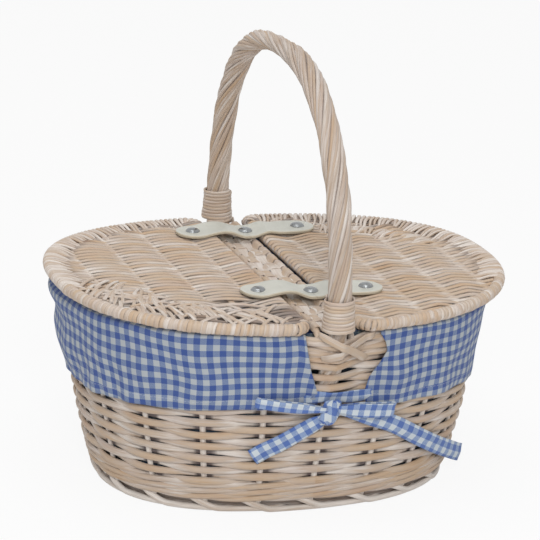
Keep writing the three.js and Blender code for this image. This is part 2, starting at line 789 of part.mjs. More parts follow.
function cuffGeometry(side) {
  const columns = 3 * cuffFolds;
  const startX = side < 0 ? -slitLeft : slitRight;
  const endX = side < 0 ? -slitRight : slitLeft;
  const halfLength = halfLengthAt(rimHeight);
  const angleOf = (x) => Math.acos(signedPower(x / halfLength, bodySquareness / 2));
  const frontAngle = -angleOf(startX);
  const backAngle = side < 0 ? angleOf(endX) - 2 * Math.PI : angleOf(endX);
  const lowest = rimHeight - cuffDrop;
  const hanging = [rimBorderBottom, lerp(rimBorderBottom, lowest, 0.5), lowest].map((z) => {
    const slack = (rimHeight - z) / cuffDrop;
    return { z, offset: clothSeam, rise: 0, out: 1, slack };
  });
  const profile = [
    { z: rimHeight + seam, offset: linerOffset, rise: 1, out: 0, slack: 0 },
    { z: rimHeight + seam, offset: clothSeam, rise: 1, out: 1, slack: 0 },
    ...hanging,
  ];
  const layer = (thick) => range(columns + 1, (column) => {
    const angle = lerp(frontAngle, backAngle, column / columns);
    const fold = 1 + Math.cos((2 * Math.PI * cuffFolds * column) / columns);
    return profile.map((place) => {
      const slack = place.slack * (cuffFlare + cuffFoldDepth * fold);
      return wallPoint(angle, place.z + thick * place.rise, place.offset + thick * place.out + slack);
    });
  });
  return sheetGeometry(layer(clothThickness), layer(0));
}

piece(basket, 'liner_bag', bagGeometry(), gingham);
piece(basket, 'liner_cuff_left', cuffGeometry(-1), gingham);
piece(basket, 'liner_cuff_right', cuffGeometry(1), gingham);

// Ties: flat ribbons that lie on the wall, the same at the back turned half round
const tieLevel = rimHeight - cuffDrop;
const knotLevel = tieLevel - knotDrop;
const overCuff = clothSeam + cuffFlare + 2 * cuffFoldDepth + clothThickness + clothSeam;
const bandLevel = tieLevel + tieWidth / 2;
const besideKnot = knotWidth / 2 + 3 * seam;
const underKnot = knotWidth / 2 - seam;
const tailTop = tieLevel - tailDrop;
const tieRoutes = {
  band: {
    from: [-slitLeft + clothSeam, bandLevel],
    to: [slitRight - clothSeam, bandLevel],
    lift: clothSeam,
    thick: tieThickness,
  },
  left_loop: {
    from: [knotShift - besideKnot, tieLevel],
    to: [-loopReach, tieLevel + loopSwing],
    lift: overCuff,
    thick: loopThickness,
  },
  right_loop: {
    from: [knotShift + besideKnot, tieLevel],
    to: [loopReach, tieLevel - loopSwing],
    lift: overCuff,
    thick: loopThickness,
  },
  left_tail: {
    from: [knotShift - underKnot, tailTop],
    to: [-leftTailReach, tieLevel - leftTailFall],
    lift: clothSeam,
    thick: tieThickness,
  },
  right_tail: {
    from: [knotShift + underKnot, tailTop],
    to: [rightTailReach, tieLevel - rightTailFall],
    lift: clothSeam,
    stand: rightTailStand,
    thick: tieThickness,
  },
};

function ribbonGeometry(route, side) {
  const steps = 6;
  const [fromX, fromZ] = route.from;
  const [toX, toZ] = route.to;
  const length = Math.hypot(toX - fromX, toZ - fromZ);
  const acrossX = (-(toZ - fromZ) / length) * (tieWidth / 2);
  const acrossZ = ((toX - fromX) / length) * (tieWidth / 2);
  const line = (edge, depth) => range(steps + 1, (step) => {
    const share = step / steps;
    const x = lerp(fromX, toX, share) + edge * acrossX;
    const z = lerp(fromZ, toZ, share) + edge * acrossZ;
    const stand = (route.stand ?? 0) * share * share;
    const place = frontWallPoint(x, z, route.lift + stand + depth);
    return point(place.x * side, place.y * side, place.z);
  });
  const top = [line(-1, route.thick), line(1, route.thick)];
  const bottom = [line(-1, 0), line(1, 0)];
  return sheetGeometry(top, bottom);
}

// Knot: a small cushion of cloth in front of the band
function knotGeometry(side) {
  const rows = 4;
  const across = 6;
  const layer = (share) => range(rows + 1, (row) => range(across + 1, (column) => {
    const u = (2 * column) / across - 1;
    const v = (2 * row) / rows - 1;
    const crown = Math.sqrt((1 - knotCrown * u * u) * (1 - knotCrown * v * v));
    const x = knotShift + (u * knotWidth) / 2;
    const z = knotLevel + (v * knotHeight) / 2;
    const seat = clothSeam + tieThickness + seam;
    const place = frontWallPoint(x, z, seat + share * crown * knotDepth);
    return point(place.x * side, place.y * side, place.z);
  }));
  return sheetGeometry(layer(1), layer(0));
}

['front', 'back'].forEach((end, index) => {
  const side = index === 0 ? 1 : -1;
  Object.entries(tieRoutes).forEach(([name, route]) => {
    piece(basket, `tie_${end}_${name}`, ribbonGeometry(route, side), gingham);
  });
  piece(basket, `tie_${end}_knot`, knotGeometry(side), gingham);
});

const design = new THREE.Group();
design.name = 'picnic_basket';
design.add(basket, lids.left, lids.right);

export default design;
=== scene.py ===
import bpy
import numpy as np
from mathutils import Matrix, Vector
from numpy import concatenate as join
from numpy import arange, array, clip, cos, cross, exp, interp, linspace, maximum, minimum, pi, sin


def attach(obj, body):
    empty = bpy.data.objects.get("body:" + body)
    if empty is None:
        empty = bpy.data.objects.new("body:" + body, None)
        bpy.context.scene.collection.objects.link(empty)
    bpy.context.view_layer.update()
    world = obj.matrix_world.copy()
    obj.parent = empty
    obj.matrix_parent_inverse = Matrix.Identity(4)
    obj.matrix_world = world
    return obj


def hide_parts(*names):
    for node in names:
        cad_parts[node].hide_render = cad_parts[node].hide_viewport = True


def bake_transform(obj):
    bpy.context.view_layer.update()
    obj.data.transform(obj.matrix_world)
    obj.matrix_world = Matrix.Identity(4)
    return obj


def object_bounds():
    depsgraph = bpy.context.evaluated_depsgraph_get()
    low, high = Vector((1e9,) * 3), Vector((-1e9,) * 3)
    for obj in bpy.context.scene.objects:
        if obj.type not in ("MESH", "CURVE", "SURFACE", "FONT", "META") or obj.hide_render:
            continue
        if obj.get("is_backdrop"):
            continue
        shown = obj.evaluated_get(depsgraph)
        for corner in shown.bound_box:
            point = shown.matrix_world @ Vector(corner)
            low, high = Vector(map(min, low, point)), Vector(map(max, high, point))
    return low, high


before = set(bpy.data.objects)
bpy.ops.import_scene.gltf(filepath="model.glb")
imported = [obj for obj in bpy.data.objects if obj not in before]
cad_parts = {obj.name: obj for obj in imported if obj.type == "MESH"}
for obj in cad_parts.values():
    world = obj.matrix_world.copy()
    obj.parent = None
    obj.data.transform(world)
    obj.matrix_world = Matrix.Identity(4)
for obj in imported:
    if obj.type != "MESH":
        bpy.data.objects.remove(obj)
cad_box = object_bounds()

rng = np.random.default_rng(11)

TAU = 2 * pi
UP = (0, 0, 1)
WHITE = (1, 1, 1, 1)

# Sizes in metres
RIM = 0.161
FOOT_HALF_LENGTH = 0.148
FOOT_HALF_WIDTH = 0.116
END_FLARE = 0.031
SIDE_FLARE = 0.034
FLARE_EASE = 1.36
BODY_POWER = 2.3
STAKES = 20
ROW_PITCH = 0.0054
SIDE_BOTTOM = 0.0263
SIDE_ROWS = 21
WALL_MIDDLE = -0.0037
BULGE_RIM = 0.02
BULGE_START = 0.092
BULGE_REACH = 0.027
DENT_STAKE = 4.0  # the wall leans in here
DENT = 0.004
STUB_BOTTOM = 0.112
STUB_TOP = 0.163
STUB_RADIUS = 0.0072
HANDLE_RADIUS = 0.0098
HANDLE_HALF = 0.1595
SHOULDER = 0.171
HANDLE_TOP = 0.3582
HANDLE_POWER = 2.4
HANDLE_STRANDS = 22
HANDLE_LAY = 0.175  # length of one full twist
WHIPPING_BOTTOM = 0.1676
WHIPPING_HEIGHT = 0.0262
WHIPPING_RADIUS = 0.01145
LID_LEVEL = 0.1673
LID_HALF_LENGTH = 0.19
LID_HALF_WIDTH = 0.157
LID_POWER = 2.34
LID_EDGE = 0.0229
LID_CURL = 0.005
HINGE = 0.0171
HOOP = 0.0047
LID_CORNER_X = 0.0329
LID_CORNER = 0.01
RIB_PITCH = 0.03759
RIBS = 3
LID_WEAVERS = 76
LID_REACH = 0.1443
BRIDGE_LEVEL = 0.1643
BRIDGE_PITCH = 0.02
STRAP_SHIFT = 0.0085
STRAP_WIDTH = 0.032
STRAP_THICK = 0.0026
STRAP_END = 0.0134
BEVEL = 0.0005
# Middle of each strap, its skew, and how far its rivet and its end lie from the middle
STRAPS = {
    "front": (-0.068, -0.07, {"left": (0.044, 0.0578), "right": (0.046, 0.059)}),
    "back": (0.105, 0.0, {"left": (0.047, 0.0612), "right": (0.047, 0.061)}),
}
# Radius and height of a rivet's shank and brim
RIVET_BRIM = [(0.0019, -0.0025), (0.0019, -0.0003), (0.0059, -0.0003), (0.0061, 0.0001), (0.006, 0.0006)]
# The back end is the front one turned half round
ENDS = {"front": array([1.0, 1.0, 1.0]), "back": array([-1.0, -1.0, 1.0])}
SIDES = {"left": -1, "right": 1}
# Lashing skeins over the front wall: x, z and distance from the wall
LASHINGS = {
    "under": ([0.035, 0.022, 0.008, -0.003, -0.012], [0.159, 0.1575, 0.1545, 0.1485, 0.144], 0.003),
    "over": ([-0.016, -0.007, 0.0075, 0.02, 0.029], [0.1655, 0.161, 0.154, 0.145, 0.1395], 0.0046),
}
# Edges of the cuffs beside the front foot: x by share of the drop
CUFF_EDGES = {
    -1: ([0, 0.2, 0.45, 0.8, 1], [-0.0238, -0.0216, -0.0184, -0.0107, -0.0085]),
    1: ([0, 0.12, 0.25, 0.43, 0.62, 0.87, 1], [0.04, 0.0442, 0.0462, 0.0415, 0.0345, 0.0324, 0.0345]),
}
# Hem of the cuffs: z by x
HEM = ([-0.18, -0.165, -0.145, -0.105, -0.063, -0.009, 0.0, 0.034, 0.047, 0.066, 0.107, 0.18],
       [0.0885, 0.0905, 0.0934, 0.0951, 0.0979, 0.101, 0.101, 0.0995, 0.097, 0.095, 0.0955, 0.0905])
CUFF_FOLD = 0.159  # the cuff hangs from here
SEAM = 0.0085  # distance of the stitches from an edge of the cloth
# The bow's tails: x, z and distance from the wall
TAILS = {
    "left_tail": ([0.0005, -0.014, -0.03, -0.045, -0.0555], [0.0905, 0.0808, 0.0706, 0.061, 0.054],
                  [0.0068, 0.0046, 0.003, 0.0024, 0.0026]),
    "right_tail": ([0.008, 0.031, 0.061, 0.0926, 0.114, 0.133, 0.147],
                   [0.097, 0.09, 0.0765, 0.056, 0.0425, 0.031, 0.0225],
                   [0.007, 0.0062, 0.0034, 0.0026, 0.0036, 0.0066, 0.01]),
}
# The bow's loops: x and z of root and tip, and half the width
LOOPS = {"left_loop": ((-0.002, 0.098), (-0.058, 0.1068), 0.0042),
         "right_loop": ((0.007, 0.0985), (0.0545, 0.093), 0.0062)}


# Small helpers for numbers
def unit(vectors):
    return vectors / maximum(np.linalg.norm(vectors, axis=-1, keepdims=True), 1e-12)


def square_to(along, lean):
    return unit(lean - along * np.sum(lean * along, 1, keepdims=True))


def stack(*rows):
    """Points from rows of coordinates, any of which may be one number."""
    return np.stack(np.broadcast_arrays(*rows), -1)


def sharpen(value, power):
    return np.sign(value) * abs(value) ** power


def ease(share):
    share = clip(share, 0, 1)
    return share * share * (3 - 2 * share)


def arc(share, power):
    """Height of a superellipse by the share of its half width."""
    return maximum(0, 1 - minimum(1, abs(share)) ** power) ** (1 / power)


def bell(value, middle, reach):
    return exp(-((value - middle) / reach) ** 2)


def shares(count):
    return linspace(0, 1, count)


def wobble(turns, size, low=2, high=8):
    """A smooth uneven wave along a closed run, with turns from 0 to 1."""
    total = sum(sin(TAU * (beat * turns + rng.random())) for beat in range(low, high))
    return size * total / (high - low) ** 0.5


def gaps(points, axis=0):
    return np.linalg.norm(np.diff(points, axis=axis), axis=-1)


def travel(path):
    """Distance covered along a path at each of its points."""
    return join([[0], np.cumsum(gaps(path))])


def evenly(path, count, *more):
    """Even distances along a path, with the path there."""
    length = travel(path)
    even = linspace(0, length[-1], count)
    return even, stack(*(interp(even, length, row) for row in (*path.T, *more)))


def curve(share, values, rounds):
    """A run through evenly spaced values, smoothed."""
    run = interp(share, shares(len(values)), values)
    for _ in range(rounds):
        run[1:-1] = (run[:-2] + 2 * run[1:-1] + run[2:]) / 4
    return run


def grid_corners(rows, columns, loop=False, ring=True):
    """Row and column of every quad's corners, one past the last where a grid closes."""
    row = arange(rows if loop else rows - 1)[:, None, None] + [0, 0, 1, 1]
    column = arange(columns if ring else columns - 1)[None, :, None] + [0, 1, 1, 0]
    return [corner.reshape(-1, 4) for corner in np.broadcast_arrays(row, column)]


# The wall's outer face, with places round it counted in stakes from the front centre
def oval(long, wide, angle, power):
    x = long * sharpen(cos(angle), 2 / power)
    y = wide * sharpen(sin(angle), 2 / power)
    return x, y


def half_sizes(z, offset):
    share = z / RIM
    flare = FLARE_EASE * share - (FLARE_EASE - 1) * share * share
    return FOOT_HALF_LENGTH + END_FLARE * flare + offset, FOOT_HALF_WIDTH + SIDE_FLARE * flare + offset


def bulge_at(x, z):
    """How far the wall bulges out over the stubs of the handle."""
    rise = ease((z - BULGE_START) / (RIM - BULGE_START))
    return BULGE_RIM * rise * maximum(0, 1 - abs(x) / BULGE_REACH)


TABLE_ANGLE = linspace(-pi / 2, 1.5 * pi, 4001)
TABLE_LENGTH = travel(stack(*oval(*half_sizes(RIM, 0), TABLE_ANGLE, BODY_POWER)))
RIM_LENGTH = TABLE_LENGTH[-1]
TABLE_STAKE = TABLE_LENGTH / RIM_LENGTH * STAKES


def angle_of(stake):
    laps = np.floor(stake / STAKES)
    return interp(stake - STAKES * laps, TABLE_STAKE, TABLE_ANGLE) + TAU * laps


def wall(stake, z, offset, bulged=1.0):
    stake, z, offset = np.broadcast_arrays(stake, z, offset)
    away = (stake - DENT_STAKE + STAKES / 2) % STAKES - STAKES / 2
    dent = DENT * exp(-away ** 2) * ease((z - 0.055) / 0.05) * ease((0.175 - z) / 0.03)
    x, y = oval(*half_sizes(z, offset - dent), angle_of(stake), BODY_POWER)
    return stack(x, y + np.sign(y) * bulge_at(x, z) * bulged, z)


def lap(per_stake, laps=1):
    return arange(laps * STAKES * per_stake) / per_stake


def outward(stake, z):
    ahead = wall(stake + 0.02, z, 0) - wall(stake - 0.02, z, 0)
    return unit(cross(unit(ahead), UP))


FRONT_STAKES = linspace(-4.6, 4.6, 921)
FRONT_X = wall(FRONT_STAKES, RIM, 0)[:, 0]


def front_wall(x, z, offset):
    """The front half of the wall by x, for what lies over it."""
    long, wide = half_sizes(z, offset)
    return stack(x, -(wide * arc(x / long, BODY_POWER) + bulge_at(x, z)), z)


def front_normal(x, z):
    ahead = front_wall(x + 0.002, z, 0) - front_wall(x - 0.002, z, 0)
    rise = front_wall(x, z + 0.002, 0) - front_wall(x, z - 0.002, 0)
    return unit(cross(ahead, rise))


def at_end(end, x, z, offset):
    """A path over the wall at one end of the basket, with its normals."""
    return front_wall(x, z, offset) * ENDS[end], front_normal(x, z) * ENDS[end]


# Materials
def rgb(*levels):
    """A screen colour whose levels lie above the curve's straight start."""
    return (*(((level / 255 + 0.055) / 1.055) ** 2.4 for level in levels), 1.0)


def operator(operation):
    return lambda value, other: value.nodes.math(operation, value, other)


class Value:
    """What a node puts out, ready for sums."""

    def __init__(self, nodes, socket):
        self.nodes, self.socket = nodes, socket

    __add__ = operator("ADD")
    __sub__ = operator("SUBTRACT")
    __mul__ = operator("MULTIPLY")
    __lt__ = operator("LESS_THAN")
    __gt__ = operator("GREATER_THAN")


class Nodes:
    """The node tree of a material or a world."""

    def __init__(self, owner, output):
        owner.use_nodes = True
        self.owner, self.tree = owner, owner.node_tree
        self.tree.nodes.clear()
        self.output = self.node(output)

    def node(self, kind, inputs=None, **settings):
        made = self.tree.nodes.new("ShaderNode" + kind)
        for key, value in settings.items():
            setattr(made, key, value)
        for key, value in (inputs or {}).items():
            self.wire(value, made.inputs[key])
        return made

    def wire(self, source, target):
        if isinstance(source, Value):
            self.tree.links.new(source.socket, target)
        else:
            target.default_value = source

    def value(self, kind, inputs=None, output=0, **settings):
        return Value(self, self.node(kind, inputs, **settings).outputs[output])

    def math(self, operation, *terms, clamp=False):
        return self.value("Math", dict(enumerate(terms)), operation=operation, use_clamp=clamp)

    def mix(self, share, first, second):
        return self.value("Mix", {0: share, 6: first, 7: second}, 2, data_type="RGBA")

    def noise(self, place, scale, detail):
        inputs = {"Vector": place, "Scale": scale, "Detail": detail, "Roughness": 0.55}
        return self.value("TexNoise", inputs, "Fac")

    def grain(self, along, across, detail):
        """Noise with so many grains to a metre along a rod and across it."""
        place = self.value("Mapping", {"Vector": self.value("UVMap"), "Scale": (along, across, 1)})
        return self.noise(place, 1.0, detail)

    def attribute(self, name):
        return self.value("Attribute", output="Fac", attribute_name=name)

    def ramp(self, share, stops):
        made = self.node("ValToRGB", {0: share})
        ramp = made.color_ramp
        while len(ramp.elements) < len(stops):
            ramp.elements.new(0.5)
        for element, (place, colour) in zip(ramp.elements, stops):
            element.position = place
            element.color = colour
        return Value(self, made.outputs[0])

    def finish(self, colour, roughness, height=None, strength=0.0, distance=0.0, **more):
        """A principled shader, with a bump where a height is given."""
        inputs = {"Base Color": colour, "Roughness": roughness}
        inputs |= {key.replace("_", " "): value for key, value in more.items()}
        if height is not None:
            bump = {"Strength": strength, "Distance": distance, "Height": height}
            inputs["Normal"] = self.value("Bump", bump)
        self.lit = self.value("BsdfPrincipled", inputs)
        self.wire(self.lit, self.output.inputs[0])
        return self.owner

    def show_white(self, lit, white, share):
        """White for rays that look at it, lit for those that light the object."""
        rays = self.node("LightPath").outputs
        seen = 0.0
        for kind in ("Camera", "Glossy", "Transmission"):
            seen = self.math("MAXIMUM", seen, Value(self, rays[f"Is {kind} Ray"]))
        bright = self.value(white, {"Color": WHITE, "Strength": 1.0})
        self.wire(self.value("MixShader", {0: seen * share, 1: lit, 2: bright}), self.output.inputs[0])


def look_nodes(name):
    return Nodes(bpy.data.materials.new(name), "OutputMaterial")


def willow_look(name, shift=0.0, spread=1.0, roughness=0.62, dim=1.0):
    """Whitewashed willow, worn to tan where a rod stands proud."""
    look = look_nodes(name)
    patch = look.grain(26, 70, 2)
    streak = look.grain(34, 1500, 3)
    fibre = look.grain(160, 5200, 2)
    share = look.attribute("tone") * (0.34 * spread) + shift + look.attribute("wear") * 0.42
    share += (patch - 0.5) * (1.1 * spread) + (streak - 0.5) * 0.9
    colour = look.ramp(share, [
        (0.0, rgb(236, 228, 220)),
        (0.22, rgb(221, 210, 200)),
        (0.45, rgb(200, 181, 163)),
        (0.65, rgb(204, 180, 154)),
        (0.85, rgb(198, 167, 136)),
        (1.0, rgb(178, 145, 116)),
    ])
    tint = look.math("MULTIPLY", look.grain(9, 30, 1) - 0.45, 2.2, clamp=True)
    colour = look.mix(tint * 0.45, colour, rgb(197, 176, 168))
    # Painted shade: the shade attribute darkens a rod towards dark brown where it lies in a hollow, behind
    # another rod or at the back of the weave
    colour = look.mix(look.attribute("shade"), colour, rgb(90, 77, 79))
    colour = look.mix(1 - dim, colour, rgb(60, 48, 50))
    return look.finish(colour, roughness, streak * 0.8 + fibre * 0.5, 0.45, 0.0005)


def gingham_look(name, painted_light_gain=1.0, lift=0.0):
    """Woven check of one centimetre, with a fine hatch where one yarn is blue."""
    look = look_nodes(name)

    # Gain and lift turn the check's dyes into lighter or darker copies: painted light and painted shade
    def dye_and_painted_light(red, green, blue):
        tints = zip(rgb(red, green, blue), (0.65, 1.0, 1.1))
        return (*(value * painted_light_gain + lift * tint for value, tint in tints), 1.0)

    split = look.node("SeparateXYZ", {0: look.value("UVMap")}).outputs
    ways = [Value(look, split[axis]) for axis in (0, 1)]
    bars = [look.math("FRACT", look.math("DIVIDE", way, 0.01)) < 0.5 for way in ways]
    count = bars[0] + bars[1]
    hatch = look.math("FRACT", (ways[0] + ways[1]) * 1150) < 0.5
    middle = look.mix(hatch, dye_and_painted_light(88, 110, 158), dye_and_painted_light(138, 152, 178))
    colour = look.mix(look.math("COMPARE", count, 1.0, 0.1), dye_and_painted_light(186, 191, 193), middle)
    colour = look.mix(count > 1.5, colour, dye_and_painted_light(40, 73, 146))
    colour = look.mix(look.grain(60, 60, 2) * 0.14, colour, dye_and_painted_light(136, 152, 182))
    colour = look.mix(look.grain(2600, 900, 2) * 0.12, colour, dye_and_painted_light(136, 148, 178))
    on_line = look.math("COMPARE", look.attribute("edge"), SEAM, 0.00045)
    stitch = on_line * (look.math("FRACT", ways[0] * 300) < 0.62)
    colour = look.mix(stitch * 0.22, colour, rgb(214, 218, 228))
    waves = [look.math("SINE", way * 12000) for way in ways]
    height = (waves[0] + waves[1]) * 0.25 - on_line + stitch * 2.2
    return look.finish(colour, 0.88, height, 0.35, 0.0003, Sheen_Weight=0.12)


def leather_look(name):
    look = look_nodes(name)
    place = look.value("TexCoord", output="Object")
    pores = look.value("TexVoronoi", {"Vector": place, "Scale": 1100}, "Distance", feature="DISTANCE_TO_EDGE")
    cloud = look.noise(place, 55, 4)
    share = look.math("MULTIPLY", cloud - 0.32, 1.7, clamp=True)
    height = look.math("MINIMUM", pores * 5, 1.0) * 0.5 + cloud * 1.2
    return look.finish(look.mix(share, rgb(204, 204, 194), rgb(222, 221, 211)), 0.5, height, 0.25, 0.0003)


def leather_edge_look(name):
    """The cut edge: two glued layers with a darker line between them."""
    look = look_nodes(name)
    cloud = look.grain(300, 900, 3)
    up = look.value("SeparateXYZ", {0: look.value("UVMap")}, 1)
    line = look.math("COMPARE", up, STRAP_THICK / 2, 0.00025)
    base = look.mix(cloud, rgb(214, 207, 188), rgb(198, 188, 166))
    return look.finish(look.mix(line * 0.5, base, rgb(140, 122, 98)), 0.7, cloud, 0.4, 0.0002)


def nickel_look(name):
    look = look_nodes(name)
    haze = look.noise(look.value("TexCoord", output="Object"), 320, 4)
    base = look.mix(haze, rgb(112, 114, 116), rgb(160, 163, 164))
    return look.finish(base, haze * 0.16 + 0.17, haze, 0.06, 0.0003, Metallic=1.0)


WILLOW = willow_look("willow_wash", shift=0.05, dim=0.97)
# The foot's willow is shifted lighter than the wall's: painted light against the shade low on the basket
LIT_FOOT = willow_look("foot_wash_lit", shift=-0.32, spread=0.9)
STAKE = willow_look("stake_wash", shift=0.06, spread=0.6, dim=0.95)
LID = willow_look("lid_wash", shift=0.01, spread=1.1)
ROD = willow_look("rod_wash", roughness=0.58)
HANDLE = willow_look("handle_wash", shift=0.04, dim=0.96)
SKEIN = willow_look("skein_wash", shift=0.02, spread=0.9, roughness=0.55)
GINGHAM = gingham_look("gingham_check")
# The ties take a lighter copy of the same check: painted light
LIT_TIE_GINGHAM = gingham_look("gingham_tie_lit", 1.33, 0.047)
# A darker copy of the same check for the bag's inner face: painted shade seen through the weave
SHADED_GINGHAM = gingham_look("gingham_shaded", 0.24, 0.06)
LEATHER = leather_look("strap_leather")
LEATHER_EDGE = leather_edge_look("strap_edge")
NICKEL = nickel_look("rivet_nickel")


# Mesh building
def link(name, data):
    made = bpy.data.objects.new(name, data)
    bpy.context.scene.collection.objects.link(made)
    return made


def make_piece(name, points, faces, uvs, body, materials, nodes, slot, values=None):
    mesh = bpy.data.meshes.new(name)
    mesh.from_pydata(points.tolist(), [], faces)
    mesh.polygons.foreach_set("use_smooth", np.ones(len(mesh.polygons), bool))
    mesh.uv_layers.new(name="UVMap").data.foreach_set("uv", array(uvs, float).ravel())
    for key, value in (values or {}).items():
        mesh.attributes.new(key, "FLOAT", "POINT").data.foreach_set("value", array(value, float))
    made = link(name, mesh)
    for material in materials:
        mesh.materials.append(material)
    if nodes:
        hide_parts(*nodes)
    if body:
        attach(made, body)
    return made


def surface(name, grid, uv, *looks, ring=True, capped=True, mirrored=False, values=None):
    """A piece from rows of points, which a ring and caps can close."""
    rows, columns = grid.shape[:2]
    row, column = grid_corners(rows, columns, ring=ring)
    faces = (row * columns + column % columns).tolist()
    uvs = uv[row, column % uv.shape[1]].reshape(-1, 2)
    if capped:
        faces += [list(range(columns))[::-1], list(range((rows - 1) * columns, rows * columns))]
        uvs = join([uvs, np.zeros((2 * columns, 2))])
    if mirrored:
        faces = [face[::-1] for face in faces]
        uvs[:row.size] = uvs[:row.size].reshape(-1, 4, 2)[:, ::-1].reshape(-1, 2)
    return make_piece(name, grid.reshape(-1, 3), faces, uvs, *looks, values)


class Rods:
    """Rods swept along paths into one mesh, with tone, wear and painted shade."""

    def __init__(self):
        self.points, self.quads, self.caps, self.uvs, self.values = [], [], [], [], []
        self.count = 0

    def add(self, path, half_n, half_b, normal=UP, across=None, tone=0.5, wear=0.6,
            sides=8, closed=False, power=1.0, shade=0.0):
        """Sweep one rod, half_n thick along the normal and half_b across it."""
        steps = len(path)
        along = unit(np.roll(path, -1, 0) - np.roll(path, 1, 0) if closed else np.gradient(path, axis=0))
        if across is None:
            normal = square_to(along, normal)
            across = cross(along, normal)
        else:
            across = square_to(along, across)
            normal = cross(across, along)
        turn = TAU * arange(sides) / sides
        cosine, sine = sharpen(cos(turn), power), sharpen(sin(turn), power)
        half_n, half_b = (np.broadcast_to(half, (steps,))[:, None] for half in (half_n, half_b))
        ring = path[:, None] + (half_n * cosine)[..., None] * normal[:, None]
        ring += (half_b * sine)[..., None] * across[:, None]
        self.points.append(ring.reshape(-1, 3))
        row, column = grid_corners(steps, sides, loop=closed)
        self.quads.append(row % steps * sides + column % sides + self.count)
        run = travel(np.vstack([path, path[:1]])) + 7.0 * rng.random(2)[0]
        section = stack(half_n.mean() * cosine, half_b.mean() * sine)
        girth = travel(np.vstack([section, section[:1]]))
        self.uvs.append(stack(run[row], girth[column]).reshape(-1, 2))
        if not closed:
            first = self.count + arange(sides)
            self.caps += [first[::-1].tolist(), (first + (steps - 1) * sides).tolist()]
        values = np.broadcast_to(stack(tone, wear, shade), (steps, 3))
        face_out = 0.5 + 0.5 * cos(turn)
        self.values.append((values[:, None] * stack(1, face_out, 1)).reshape(-1, 3))
        self.count += steps * sides
        return self

    def make(self, name, nodes=(), material=WILLOW, slot="willow", body="basket"):
        faces = join(self.quads).tolist() + self.caps
        uvs = join(self.uvs + [np.zeros((sum(map(len, self.caps)), 2))])
        values = dict(zip(("tone", "wear", "shade"), join(self.values).T))
        make_piece(name, join(self.points), faces, uvs, body, [material], nodes, slot, values)


def rod_tones(stake, row, parity=True):
    """One tone for each rod of a row; a new rod starts behind a stake."""
    tones = np.zeros(len(stake))
    more = rng.integers(0, 6)
    edges = [-1.0]
    while edges[-1] < stake[-1]:
        edges.append(edges[-1] + rng.integers(5, 9) * 2 + more)
        more = 0
    edges = [edge + (row + 1) % 2 if parity else edge for edge in edges]
    for first, last in zip(edges, edges[1:] + [edges[-1] + 99]):
        tones[(stake >= first) & (stake < last)] = rng.random()
    return tones


# Side weave: each rod passes before one stake and behind the next
def side_weave():
    rods = Rods()
    stake = lap(16)
    turns = stake / STAKES
    for row in range(SIDE_ROWS):
        beat = cos(pi * (stake + row))
        swing = sharpen(beat, 0.85)
        z = SIDE_BOTTOM + (row + 0.5) * ROW_PITCH + wobble(turns, 0.00045, 3, 17)
        offset = WALL_MIDDLE + 0.0023 * swing + wobble(turns, 0.00012)
        front = 0.5 + 0.5 * swing
        # Painted shade darkens a rod where it passes behind a stake, as dark windows on both sides of the
        # stake
        window_shade = ease((-beat - 0.83 + wobble(turns, 0.05, 5, 19)) / 0.07)
        height = 0.0025 + 0.0007 * front + wobble(turns, 0.00018, 5, 23)
        path = wall(stake, z, offset, bulged=(row + 1) % 2)
        height *= (1 - 0.25 * bulge_at(path[:, 0], z) / BULGE_RIM)
        rods.add(path, 0.0016 + 0.0003 * front, height, outward(stake, z),
                 tone=rod_tones(stake, row), wear=front ** 1.6, sides=10, closed=True, shade=0.88 * window_shade)
    rods.make("side_rods", ["side_weave"])


def stakes():
    rods = Rods()
    for stake in range(STAKES):
        place = stake + rng.normal(0, 0.01)
        # The stakes at both feet of the handle end below its stubs
        z = linspace(0.01, 0.106 if stake % 10 == 0 else 0.1575, 40)
        rods.add(wall(place, z, WALL_MIDDLE - 0.0004), 0.0018, 0.0026, outward(place, z),
                 tone=0.3 * rng.random(), wear=0.1)
    rods.make("side_stakes", material=STAKE)


# Wale: three rods twist round each other, each before two stakes and behind one
def wale(name, node, bottom, rows):
    rods = Rods()
    stake = lap(12, 3)
    turns = stake / (3 * STAKES)
    for row in range(rows):
        phase = TAU * (stake + row) / 3
        out = sharpen(cos(phase), 0.8)
        z = bottom + (row + 0.5) * ROW_PITCH + 0.0016 * sin(phase) + wobble(turns, 0.0003, 3, 29)
        front = 0.5 + 0.5 * out
        # Painted shade darkens each rod where it lies at the back of the twist
        rods.add(wall(stake, z, WALL_MIDDLE + 0.0002 + 0.0017 * out), 0.0017, 0.0018 + 0.0007 * front,
                 outward(stake, z), tone=rod_tones(stake, row, False), wear=0.1 + 0.9 * front ** 1.5,
                 sides=10, closed=True, shade=0.9 * ease((0.22 - front) / 0.16))
    rods.make(name, [node])


# Border: every stake's rod comes from inside, lies over the next ones and tucks back in
def border(name, node, start_z, end_z, reach, depth, fall, material):
    rods = Rods()
    radius = 0.0026
    share = shares(40)
    in_start = 1 - ease(share / 0.16)
    in_end = ease((share - 0.8) / 0.2)
    offset = -0.0026 - 0.0018 * share - depth * in_start - depth * 0.8 * in_end
    # Painted shade darkens each rod's ends, where it comes from inside the wall and goes back in
    shade = 0.85 * ease(maximum(in_start, in_end) * 1.6 - 0.5)
    for strand in range(STAKES):
        stake = strand - 0.45 + reach * share + rng.normal(0, 0.03)
        z = start_z + (end_z - start_z) * ease((share - 0.04) / fall) + rng.normal(0, 0.0003)
        size = radius * (1.04 - 0.22 * share + 0.04 * sin(9 * share + strand))
        rods.add(wall(stake, z, offset), size * 0.95, size, outward(stake, z), tone=rng.random(),
                 wear=0.9 - 0.5 * in_start - 0.5 * in_end, sides=10, shade=shade)
    rods.make(name, [node], material)


